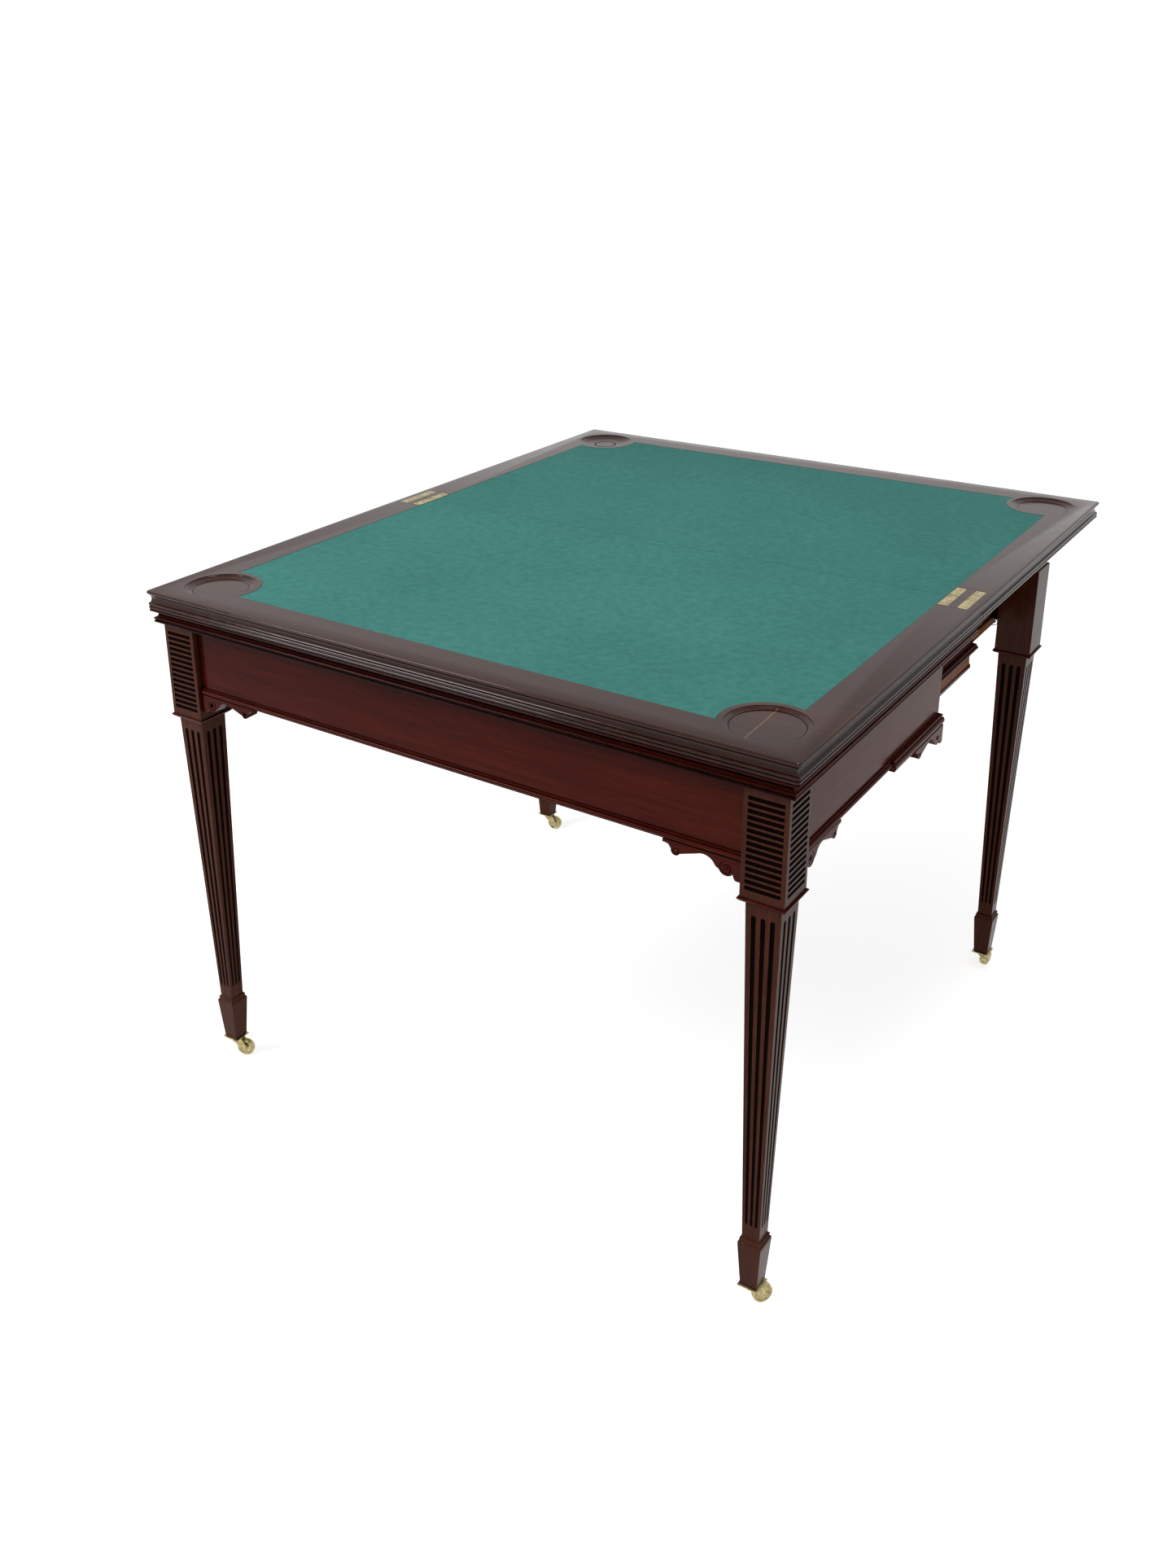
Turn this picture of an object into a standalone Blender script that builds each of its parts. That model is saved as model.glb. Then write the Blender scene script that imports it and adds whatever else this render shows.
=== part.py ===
"""Fold-over card table, open: a fixed leaf on a moulded frame, and a hinged flap
carried by a rear frame that draws out on two pairs of telescopic slides.

Metres, +Z up. The front apron faces -Y, the hinge line of the two leaves is the
line y = 0, and the floor is z = 0. Left is -X and right is +X.
"""

import math

import bmesh
import bpy
from mathutils import Matrix, Vector

# --- driving sizes -----------------------------------------------------------
TABLE_WIDTH = 0.950          # along x, over the leaf edges
LEAF_DEPTH = 0.555           # along y, one leaf
TABLE_HEIGHT = 0.750         # playing surface above the floor
LEAF_THICKNESS = 0.0254
FRAME_DRAW = LEAF_DEPTH * 2 / 3     # how far the rear frame draws out
MID_DRAW = FRAME_DRAW * 0.255 / 0.370  # the part of that draw taken by the first slides
LEAF_UNDERSIDE = TABLE_HEIGHT - LEAF_THICKNESS

# clearances
GAP = 0.0003                 # between pieces that touch
FOLDED_GAP = 0.0005          # between the two playing surfaces when folded
RUN = 0.001                  # free run left at the end of a slide

# the playing surface
BAIZE_BORDER = 0.051
BAIZE_THICKNESS = 0.0012
BAIZE_BELOW = 0.0002
DISH_INSET = 0.070           # dish centre from both edges of the leaf
DISH_RADIUS = 0.0478
DISH_DEPTH = 0.007
DISH_MARGIN = 0.0072         # wood left round a dish
HINGE_ARRIS = 0.0012         # chamfer on the two edges that meet

# the frame
LEG_BLOCK = 0.053            # square head of a leg
LEG_INSET = 0.0145           # head's outer face behind the leaf edge
APRON_SETBACK = 0.0085       # apron face behind the head's face
APRON_THICKNESS = 0.020
APRON_BOTTOM = LEAF_UNDERSIDE - 0.1063
CORNICE_BOTTOM = LEAF_UNDERSIDE - 0.0201
CORNICE_INSET = 0.0005
BEAD_DEPTH = 0.009
BEAD_PROUD = 0.005
BRACKET_LENGTH = 0.097
BRACKET_THICKNESS = 0.018
BRACKET_INSET = 0.001
DOCK_END = -0.075            # rear end of the side aprons
DOCK_GAP = 0.0035            # from there to a closed rear leg
REAR_BEAD_LENGTH = 0.165     # the deeper bead at that end
REAR_BEAD_DROP = 0.005

# legs
BLOCK_BOTTOM = LEAF_UNDERSIDE - 0.1536
REAR_BLOCK_TOP = LEAF_UNDERSIDE - 0.0216
COLLAR_DEPTH = 0.0052
COLLAR_PROUD = 0.0025
SHAFT_TOP = 0.043
SHAFT_BOTTOM = 0.0225
FOOT_SHOULDER = 0.107
FOOT_TOP = 0.099
FOOT_TOP_SIDE = 0.030
FOOT_BOTTOM_SIDE = 0.022

# casters
WHEEL_RADIUS = 0.013
WHEEL_WIDTH = 0.009
CASTER_TRAIL = 0.014
CASTER_PLATE_SIDE = 0.0275
CASTER_PLATE_DEPTH = 0.003
CASTER_CROWN_RADIUS = 0.0085
CASTER_CROWN_DEPTH = 0.0032
PINTLE_RADIUS = 0.003
AXLE_RADIUS = 0.0018
CHEEK_THICKNESS = 0.0018
FOOT_BOTTOM = 0.0340
TRAIL_ANGLES = {"front_left": 25.0, "front_right": 55.0, "rear_left": 20.0, "rear_right": 80.0}

# slides
SLIDE_TOP = LEAF_UNDERSIDE - 0.0246
SLIDE_GAP = 0.0015           # first slide's face outside a leg head's inner face
MID_SLIDE_THICKNESS = 0.011
MID_SLIDE_BOTTOM = LEAF_UNDERSIDE - 0.1446
SLIDE_END_GAP = 0.0045       # from a closed first slide to the front legs
MID_BEAD_PROUD = 0.009
MID_BEAD_BOTTOM = LEAF_UNDERSIDE - 0.1126
MID_BEAD_TOP = LEAF_UNDERSIDE - 0.1046
REAR_SLIDE_THICKNESS = 0.022
REAR_SLIDE_BOTTOM = LEAF_UNDERSIDE - 0.1206
REAR_SLIDE_FRONT = 0.0
GROOVE_DEPTH = 0.0065
GROOVE_WIDTH = 0.008
REAR_GROOVE_HEIGHT = LEAF_UNDERSIDE - 0.1036
GUIDE_GROOVE_HEIGHT = LEAF_UNDERSIDE - 0.0366
TIE_WIDTH = 0.020
TIE_BOTTOM = LEAF_UNDERSIDE - 0.0966
TIE_TOP = LEAF_UNDERSIDE - 0.0346
CROSS_RAIL_BACK = -0.098
CROSS_RAIL_THICKNESS = 0.020
CROSS_RAIL_BOTTOM = LEAF_UNDERSIDE - 0.1586

# hinges
HINGE_STRIP_WIDTH = 0.0135
HINGE_STRIP_SPACING = 0.0256
HINGE_STRIP_LENGTH = 0.0375
HINGE_PLATE_DEPTH = 0.007
HINGE_EDGE = 0.001           # wood between the baize and the first strip
PIN_DEPTH = 0.002            # pin axes below the playing surface
PIN_RADIUS = 0.0009
LINK_RADIUS = 0.0019
LINK_THICKNESS = 0.003
HINGE_WEB_DEPTH = 0.0015

# facets
ARC_STEPS = 8
ROUND_SIDES = 24
DISH_SIDES = 32
DISH_RINGS = 4
PIN_SIDES = 12
WHEEL_SIDES = 32

# --- sizes that follow -------------------------------------------------------
HALF_WIDTH = TABLE_WIDTH / 2
FRAME_TOP = LEAF_UNDERSIDE - GAP
HEAD_FACE = HALF_WIDTH - LEG_INSET
HEAD_FRONT = -(LEAF_DEPTH - LEG_INSET)
LEG_X = HEAD_FACE - LEG_BLOCK / 2
FRONT_LEG_Y = HEAD_FRONT + LEG_BLOCK / 2
HEAD_INNER = HEAD_FACE - LEG_BLOCK
HEAD_BACK = HEAD_FRONT + LEG_BLOCK
APRON_FACE_X = HEAD_FACE - APRON_SETBACK
APRON_INNER_X = APRON_FACE_X - APRON_THICKNESS
APRON_FACE_Y = HEAD_FRONT + APRON_SETBACK
APRON_INNER_Y = APRON_FACE_Y + APRON_THICKNESS
BEAD_TOP = APRON_BOTTOM - GAP
BEAD_BOTTOM = BEAD_TOP - BEAD_DEPTH
BRACKET_TOP = BEAD_BOTTOM - GAP
MID_SLIDE_FACE = HEAD_INNER + SLIDE_GAP
MID_SLIDE_FRONT = HEAD_BACK + MID_DRAW + SLIDE_END_GAP
REAR_LEG_NEAR = DOCK_END + DOCK_GAP + FRAME_DRAW
REAR_LEG_Y = REAR_LEG_NEAR + LEG_BLOCK / 2
REAR_APRON_FACE = REAR_LEG_NEAR + LEG_BLOCK - APRON_SETBACK
REAR_APRON_INNER = REAR_APRON_FACE - APRON_THICKNESS
REAR_APRON_TOP = LEAF_UNDERSIDE - 2 * GAP
REAR_DRAW = FRAME_DRAW - MID_DRAW
MID_SLIDE_REAR = REAR_LEG_NEAR - REAR_DRAW - RUN
MID_SLIDE_INNER = MID_SLIDE_FACE - MID_SLIDE_THICKNESS
REAR_SLIDE_FACE = MID_SLIDE_INNER - GAP
REAR_SLIDE_INNER = REAR_SLIDE_FACE - REAR_SLIDE_THICKNESS
COLLAR_TOP = BLOCK_BOTTOM - GAP
COLLAR_BOTTOM = COLLAR_TOP - COLLAR_DEPTH
PLATE_TOP = FOOT_BOTTOM - GAP
PLATE_BOTTOM = PLATE_TOP - CASTER_PLATE_DEPTH
CROWN_TOP = PLATE_BOTTOM - GAP
CROWN_BOTTOM = CROWN_TOP - CASTER_CROWN_DEPTH
PIN_SPACING = 2 * PIN_DEPTH + FOLDED_GAP
HINGE_X = (
    HALF_WIDTH - BAIZE_BORDER + HINGE_EDGE + HINGE_STRIP_WIDTH / 2 + HINGE_STRIP_SPACING / 2
)
LINK_SLOT = PIN_SPACING * (math.sqrt(2.0) - 1)
STRIPS = (-HINGE_STRIP_SPACING / 2, HINGE_STRIP_SPACING / 2)
SIDES = {"left": -1, "right": 1}


# --- materials ---------------------------------------------------------------
def material(name, colour, roughness, metallic=0.0):
    """A Principled BSDF in one colour."""
    made = bpy.data.materials.new(name)
    made.use_nodes = True
    surface = made.node_tree.nodes["Principled BSDF"]
    surface.inputs["Base Color"].default_value = (*colour, 1.0)
    surface.inputs["Roughness"].default_value = roughness
    surface.inputs["Metallic"].default_value = metallic
    return made


# --- shapes ------------------------------------------------------------------
def add_box(bm, low, high):
    """A box from its lowest to its highest corner."""
    size = Vector(high) - Vector(low)
    middle = (Vector(high) + Vector(low)) / 2
    place = Matrix.Translation(middle) @ Matrix.Diagonal((*size, 1.0))
    bmesh.ops.create_cube(bm, size=1.0, matrix=place)


def add_prism(bm, outline, axis, low, high):
    """An outline extruded from low to high along axis; its points are the other two
    coordinates in x, y, z order."""
    def point(a, b):
        return {"x": (low, a, b), "y": (a, low, b), "z": (a, b, low)}[axis]

    face = bm.faces.new([bm.verts.new(point(a, b)) for a, b in outline])
    grown = bmesh.ops.extrude_face_region(bm, geom=[face], use_keep_orig=True)
    top = [item for item in grown["geom"] if isinstance(item, bmesh.types.BMVert)]
    along = {"x": (1, 0, 0), "y": (0, 1, 0), "z": (0, 0, 1)}[axis]
    bmesh.ops.translate(bm, verts=top, vec=Vector(along) * (high - low))


def add_cylinder(bm, centre, radius, length, axis="z", sides=ROUND_SIDES):
    """A cylinder centred on centre, along axis."""
    across = {"x": "Y", "y": "X", "z": "Z"}[axis]
    turn = Matrix.Rotation(math.pi / 2, 4, across)
    bmesh.ops.create_cone(
        bm,
        cap_ends=True,
        segments=sides,
        radius1=radius,
        radius2=radius,
        depth=length,
        matrix=Matrix.Translation(centre) @ turn,
    )


def add_lathe(bm, profile, centre, sides):
    """A profile of (radius, height) points, first and last on the axis, turned about z."""
    points = [bm.verts.new((centre[0] + r, centre[1], centre[2] + z)) for r, z in profile]
    edges = [bm.edges.new(pair) for pair in zip(points, points[1:])]
    bmesh.ops.spin(
        bm,
        geom=points + edges,
        cent=centre,
        axis=(0, 0, 1),
        angle=2 * math.pi,
        steps=sides,
        use_merge=True,
    )
    bmesh.ops.remove_doubles(bm, verts=bm.verts, dist=1e-6)


def add_column(bm, sections, centre=(0.0, 0.0)):
    """A square column on a vertical axis, from its (height, side) sections."""
    rings = []
    for height, side in sections:
        half = side / 2
        corners = ((-half, -half), (half, -half), (half, half), (-half, half))
        rings.append([bm.verts.new((centre[0] + x, centre[1] + y, height)) for x, y in corners])
    for lower, upper in zip(rings, rings[1:]):
        for index in range(4):
            after = (index + 1) % 4
            bm.faces.new((lower[index], lower[after], upper[after], upper[index]))
    bm.faces.new(rings[0][::-1])
    bm.faces.new(rings[-1])


def arc(centre, radius, start, end, steps=ARC_STEPS):
    """Points on an arc, in degrees, both ends included."""
    angles = [math.radians(start + (end - start) * step / steps) for step in range(steps + 1)]
    return [(centre[0] + radius * math.cos(a), centre[1] + radius * math.sin(a)) for a in angles]


# --- objects -----------------------------------------------------------------
def hold(name, origin, parent=None):
    """An empty on a joint's axis, which the pieces of a moving body hang from."""
    empty = bpy.data.objects.new(name, None)
    bpy.context.scene.collection.objects.link(empty)
    empty.location = origin
    empty.parent = parent
    return empty


def face_outwards(bm):
    """Turn round each closed shell whose faces look into it."""
    left = set(bm.faces)
    while left:
        shell, front = set(), {left.pop()}
        while front:
            face = front.pop()
            shell.add(face)
            near = {other for edge in face.edges for other in edge.link_faces}
            front |= near - shell
        left -= shell
        volume = 0.0
        for face in shell:
            a, *rest = [v.co for v in face.verts]
            volume += sum(a.dot(b.cross(c)) for b, c in zip(rest, rest[1:]))
        if volume < 0:
            bmesh.ops.reverse_faces(bm, faces=list(shell))


def mesh_object(name, bm, parent=None, smooth=False):
    """The object of one finished bmesh."""
    bmesh.ops.recalc_face_normals(bm, faces=bm.faces)
    face_outwards(bm)
    mesh = bpy.data.meshes.new(name)
    bm.to_mesh(mesh)
    bm.free()
    if smooth:
        mesh.shade_smooth()
        mesh.set_sharp_from_angle(angle=math.radians(35))
    made = bpy.data.objects.new(name, mesh)
    bpy.context.scene.collection.objects.link(made)
    made.parent = parent
    return made


def piece(name, bm, finish, parent=None, smooth=False):
    """A named sub-part, modelled where it stands and hung from parent without moving."""
    made = mesh_object(name, bm, parent, smooth)
    if parent:
        made.matrix_parent_inverse = Matrix.Translation(parent.location).inverted()
    made.data.materials.append(finish)
    return made


def cut(target, bm, operation="DIFFERENCE"):
    """A Boolean on target, whose cutter shares the target's place."""
    cutter = mesh_object(f"{target.name}_cutter_{len(target.modifiers)}", bm, target)
    cutter.hide_render = True
    cutter.display_type = "WIRE"
    modifier = target.modifiers.new(operation.title(), "BOOLEAN")
    modifier.operation = operation
    modifier.solver = "EXACT"
    modifier.object = cutter


# --- the playing surface -----------------------------------------------------
def leaf_turn(is_flap):
    """The two leaves are one pattern, which runs from the hinge line towards -y; the
    flap is that pattern turned half round the vertical axis."""
    return Matrix.Rotation(math.pi if is_flap else 0.0, 4, "Z")


def dish_centres():
    x = HALF_WIDTH - DISH_INSET
    y = -(LEAF_DEPTH - DISH_INSET)
    return [(-x, y), (x, y)]


def baize_outline(shrink):
    """The baize's plan, bitten round the two dishes, from the hinge line outwards."""
    half = HALF_WIDTH - BAIZE_BORDER - shrink
    far = -(LEAF_DEPTH - BAIZE_BORDER - shrink)
    near = -(HINGE_ARRIS + GAP) if shrink else GAP
    (left_x, dish_y), (right_x, _) = dish_centres()
    bite = DISH_RADIUS + DISH_MARGIN + shrink
    on_side = math.degrees(math.acos((half - right_x) / bite))
    on_front = 180 + math.degrees(math.asin((dish_y - far) / bite))
    right = arc((right_x, dish_y), bite, on_side, on_front)
    left = [(-x, y) for x, y in reversed(right)]
    return [(-half, near), (half, near), *right, *left]


def leaf(name, turn, finish, parent):
    """One leaf: a board with the baize let in, two turned dishes and two hinge beds."""
    back = -GAP
    top = TABLE_HEIGHT
    bm = bmesh.new()
    outline = [
        (-LEAF_DEPTH, LEAF_UNDERSIDE),
        (back, LEAF_UNDERSIDE),
        (back, top - HINGE_ARRIS),
        (back - HINGE_ARRIS, top),
        (-LEAF_DEPTH, top),
    ]
    add_prism(bm, outline, "x", -HALF_WIDTH, HALF_WIDTH)
    bm.transform(turn)
    board = piece(name, bm, finish, parent)

    cutter = bmesh.new()
    floor = top - BAIZE_BELOW - BAIZE_THICKNESS - GAP
    add_prism(cutter, baize_outline(0.0), "z", floor, top + RUN)
    cutter.transform(turn)
    cut(board, cutter)

    cutter = bmesh.new()
    for x, y in dish_centres():
        steps = range(DISH_RINGS + 1)
        profile = [
            (DISH_RADIUS * i / DISH_RINGS, -DISH_DEPTH * (1 - (i / DISH_RINGS) ** 3)) for i in steps
        ]
        profile += [(DISH_RADIUS, RUN), (0.0, RUN)]
        add_lathe(cutter, profile, (x, y, top), DISH_SIDES)
    cutter.transform(turn)
    cut(board, cutter)

    cutter = bmesh.new()
    half = (HINGE_STRIP_SPACING + HINGE_STRIP_WIDTH) / 2 + GAP
    for side in SIDES.values():
        x = side * HINGE_X
        low = (x - half, -HINGE_STRIP_LENGTH - GAP, top - HINGE_PLATE_DEPTH - GAP)
        add_box(cutter, low, (x + half, GAP, top + RUN))
    cutter.transform(turn)
    cut(board, cutter)


def baize(name, turn, finish, parent):
    """The cloth glued in a leaf's recess."""
    bm = bmesh.new()
    top = TABLE_HEIGHT - BAIZE_BELOW
    add_prism(bm, baize_outline(GAP), "z", top - BAIZE_THICKNESS, top)
    bm.transform(turn)
    piece(name, bm, finish, parent)


# --- hinges ------------------------------------------------------------------
def hinge_plates(name, side, turn, slide, finish, parent):
    """One brass half hinge: two strips joined by a sunk web, with a pin across the
    slot at the end of each strip; slide is how far a link moves along on that pin."""
    top = TABLE_HEIGHT
    floor = top - HINGE_PLATE_DEPTH
    web = floor + HINGE_WEB_DEPTH
    half = (HINGE_STRIP_SPACING + HINGE_STRIP_WIDTH) / 2
    well = (HINGE_STRIP_SPACING - HINGE_STRIP_WIDTH) / 2
    middle = side * HINGE_X
    outline = [(-half, floor), (-half, top), (-well, top), (-well, web)]
    outline += [(well, web), (well, top), (half, top), (half, floor)]
    body, arris, slots, pins = (bmesh.new() for _ in range(4))
    shape = [(middle + x, z) for x, z in outline]
    add_prism(body, shape, "y", -HINGE_STRIP_LENGTH, -GAP)
    wedge = [
        (RUN, top - HINGE_ARRIS - RUN - GAP),
        (RUN, top + RUN),
        (-HINGE_ARRIS - RUN - GAP, top + RUN),
    ]
    add_prism(arris, wedge, "x", middle - half - RUN, middle + half + RUN)
    reach = LINK_RADIUS + slide + GAP
    slot_half = LINK_THICKNESS / 2 + GAP
    for strip in STRIPS:
        x = middle + strip
        low = (x - slot_half, -PIN_SPACING / 2 - reach, top - PIN_DEPTH - reach)
        add_box(slots, low, (x + slot_half, RUN, top + RUN))
        centre = (x, -PIN_SPACING / 2, top - PIN_DEPTH)
        add_cylinder(pins, centre, PIN_RADIUS, HINGE_STRIP_WIDTH - RUN, "x", PIN_SIDES)
    for bm in (body, arris, slots, pins):
        bm.transform(turn)
    plates = piece(name, body, finish, parent)
    cut(plates, arris)
    cut(plates, slots)
    cut(plates, pins, "UNION")


def hinge_link(name, x, finish, parent):
    """A link across the hinge line. It turns on the fixed leaf's pin, and its slot
    slides on the flap's pin, which swings out from the first pin and back in a fold."""
    height = TABLE_HEIGHT - PIN_DEPTH
    half = PIN_SPACING / 2
    far = half + LINK_SLOT
    outline = arc((far, height), LINK_RADIUS, -90, 90)
    outline += arc((-half, height), LINK_RADIUS, 90, 270)
    bore = PIN_RADIUS + GAP
    slot_outline = arc((far, height), bore, -90, 90) + arc((half, height), bore, 90, 270)
    bm, hole, slot = bmesh.new(), bmesh.new(), bmesh.new()
    add_prism(bm, outline, "x", x - LINK_THICKNESS / 2, x + LINK_THICKNESS / 2)
    add_cylinder(hole, (x, -half, height), bore, LINK_THICKNESS + RUN, "x", PIN_SIDES)
    reach = (LINK_THICKNESS + RUN) / 2
    add_prism(slot, slot_outline, "x", x - reach, x + reach)
    link = piece(name, bm, finish, parent)
    cut(link, hole)
    cut(link, slot)


# --- frame -------------------------------------------------------------------
def cornice_plan():
    """The cornice's outer corner and the corner of the leg head it passes, as
    distances from the centre line and the hinge line."""
    outer_x = HALF_WIDTH - CORNICE_INSET
    outer_y = -(LEAF_DEPTH - CORNICE_INSET)
    head_x = HEAD_FACE + GAP
    head_y = HEAD_FRONT - GAP
    return outer_x, outer_y, head_x, head_y


def cornice(finish):
    """The moulding under the fixed leaf, mitred at the two front corners."""
    outer_x, outer_y, head_x, head_y = cornice_plan()
    slip = GAP / 2
    inner = HEAD_INNER - GAP
    face_y = APRON_FACE_Y - GAP
    front = [
        (-outer_x + slip, outer_y),
        (outer_x - slip, outer_y),
        (head_x - slip, head_y),
        (inner, head_y),
        (inner, face_y),
        (-inner, face_y),
        (-inner, head_y),
        (-head_x + slip, head_y),
    ]
    bm = bmesh.new()
    add_prism(bm, front, "z", CORNICE_BOTTOM, FRAME_TOP)
    piece("front_cornice", bm, finish)
    for side, sign in SIDES.items():
        head_back = HEAD_BACK + GAP
        face_x = APRON_FACE_X + GAP
        plan = [
            (outer_x, outer_y + slip),
            (outer_x, -GAP),
            (face_x, -GAP),
            (face_x, head_back),
            (head_x, head_back),
            (head_x, head_y + slip),
        ]
        bm = bmesh.new()
        add_prism(bm, [(sign * x, y) for x, y in plan], "z", CORNICE_BOTTOM, FRAME_TOP)
        piece(f"{side}_cornice", bm, finish)


def aprons(finish):
    """Front and side aprons, between the heads of the legs."""
    bm = bmesh.new()
    half = HEAD_INNER - GAP
    add_box(bm, (-half, APRON_FACE_Y, APRON_BOTTOM), (half, APRON_INNER_Y, FRAME_TOP))
    piece("front_apron", bm, finish)
    for side, sign in SIDES.items():
        bm = bmesh.new()
        x = sorted((sign * APRON_INNER_X, sign * APRON_FACE_X))
        low = (x[0], HEAD_BACK + GAP, APRON_BOTTOM)
        add_box(bm, low, (x[1], DOCK_END, FRAME_TOP))
        piece(f"{side}_apron", bm, finish)


def beads(finish):
    """The bead moulding under each apron; the last stretch at the side is deeper."""
    bm = bmesh.new()
    half = HEAD_INNER - GAP
    low = (-half, APRON_FACE_Y - BEAD_PROUD, BEAD_BOTTOM)
    add_box(bm, low, (half, APRON_INNER_Y, BEAD_TOP))
    piece("front_bead", bm, finish)
    joint = DOCK_END - REAR_BEAD_LENGTH
    for side, sign in SIDES.items():
        bm = bmesh.new()
        x = sorted((sign * APRON_INNER_X, sign * (APRON_FACE_X + BEAD_PROUD)))
        low = (x[0], HEAD_BACK + GAP, BEAD_BOTTOM)
        add_box(bm, low, (x[1], joint - GAP, BEAD_TOP))
        piece(f"{side}_bead", bm, finish)


def bracket_outline(top):
    """A scroll bracket's outline as (distance from the leg, height), under top."""
    drop = 0.0247
    big, small = 0.0095, 0.005
    big_centre = (0.0185, top - drop + big + 0.003)
    small_centre = (0.081, top - small - 0.0062)
    outline = [(0.0, top), (0.0, top - drop)]
    outline += [(0.007, top - drop)]
    outline += arc(big_centre, big, 215, 330, 5)
    outline += arc((0.047, top - 0.0195), 0.0155, 150, 62, 5)
    outline += arc(small_centre, small, 215, 360, 5)
    outline += [(BRACKET_LENGTH, top - 0.004), (BRACKET_LENGTH, top)]
    return outline


def front_brackets(finish):
    """Scroll brackets in the corners of the front legs, under the beads."""
    face_y = APRON_FACE_Y - BEAD_PROUD + BRACKET_INSET
    face_x = APRON_FACE_X + BEAD_PROUD - BRACKET_INSET
    for side, sign in SIDES.items():
        root = HEAD_INNER - GAP
        bm = bmesh.new()
        outline = [(sign * (root - s), z) for s, z in bracket_outline(BRACKET_TOP)]
        add_prism(bm, outline, "y", face_y, face_y + BRACKET_THICKNESS)
        piece(f"front_bracket_{side}", bm, finish)
        bm = bmesh.new()
        outline = [(HEAD_BACK + GAP + s, z) for s, z in bracket_outline(BRACKET_TOP)]
        x = sorted((sign * face_x, sign * (face_x - BRACKET_THICKNESS)))
        add_prism(bm, outline, "x", *x)
        piece(f"side_bracket_{side}", bm, finish)


def dock_brackets(finish):
    """The deeper bead with its scroll bracket, where a closed rear leg docks."""
    joint = DOCK_END - REAR_BEAD_LENGTH
    bottom = BEAD_BOTTOM - REAR_BEAD_DROP
    for side, sign in SIDES.items():
        outline = [(joint, bottom), (joint, BEAD_TOP), (DOCK_END, BEAD_TOP)]
        scroll = [(DOCK_END - s, z) for s, z in bracket_outline(bottom)]
        bm = bmesh.new()
        proud = APRON_FACE_X + 2 * BEAD_PROUD - BRACKET_INSET
        x = sorted((sign * APRON_INNER_X, sign * proud))
        add_prism(bm, outline + scroll[1:], "x", *x)
        piece(f"dock_bracket_{side}", bm, finish)


def cross_rail(finish):
    """The inner rail between the side aprons, notched where the slides pass."""
    half = APRON_INNER_X - GAP
    notch_out = MID_SLIDE_FACE + MID_BEAD_PROUD + GAP
    notch_in = REAR_SLIDE_INNER - GAP
    floor = MID_SLIDE_BOTTOM - GAP
    right = [
        (half, CROSS_RAIL_BOTTOM),
        (half, FRAME_TOP),
        (notch_out, FRAME_TOP),
        (notch_out, floor),
        (notch_in, floor),
        (notch_in, FRAME_TOP),
    ]
    left = [(-x, z) for x, z in reversed(right)]
    bm = bmesh.new()
    front = CROSS_RAIL_BACK - CROSS_RAIL_THICKNESS
    add_prism(bm, right + left, "y", front, CROSS_RAIL_BACK)
    piece("cross_rail", bm, finish)


def guides(finish):
    """A tongue batten on each side apron, in which the first slide runs."""
    rail_front = CROSS_RAIL_BACK - CROSS_RAIL_THICKNESS - GAP
    for side, sign in SIDES.items():
        half = GROOVE_WIDTH / 2 - GAP
        tip = MID_SLIDE_FACE - GROOVE_DEPTH + GAP
        x = sorted((sign * tip, sign * (APRON_INNER_X - GAP)))
        bm = bmesh.new()
        low = (x[0], HEAD_BACK + GAP, GUIDE_GROOVE_HEIGHT - half)
        add_box(bm, low, (x[1], rail_front, GUIDE_GROOVE_HEIGHT + half))
        piece(f"slide_guide_{side}", bm, finish)


# --- legs --------------------------------------------------------------------
def leg(name, x, y, top, finish, parent=None):
    """A square leg: head, tapered shaft and spade foot, in one piece of wood."""
    sections = [
        (FOOT_BOTTOM, FOOT_BOTTOM_SIDE),
        (FOOT_TOP, FOOT_TOP_SIDE),
        (FOOT_SHOULDER, SHAFT_BOTTOM),
        (BLOCK_BOTTOM, SHAFT_TOP),
        (BLOCK_BOTTOM, LEG_BLOCK),
        (top, LEG_BLOCK),
    ]
    bm = bmesh.new()
    add_column(bm, sections, (x, y))
    piece(name, bm, finish, parent)


def collar(name, x, y, finish, parent=None):
    """The moulding planted round the top of the shaft, under the head."""
    bm = bmesh.new()
    outer = LEG_BLOCK / 2 + COLLAR_PROUD
    add_box(bm, (x - outer, y - outer, COLLAR_BOTTOM), (x + outer, y + outer, COLLAR_TOP))
    ring = piece(name, bm, finish, parent)
    inner = SHAFT_TOP / 2 + GAP
    cutter = bmesh.new()
    low = (x - inner, y - inner, COLLAR_BOTTOM - RUN)
    add_box(cutter, low, (x + inner, y + inner, COLLAR_TOP + RUN))
    cut(ring, cutter)


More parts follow.
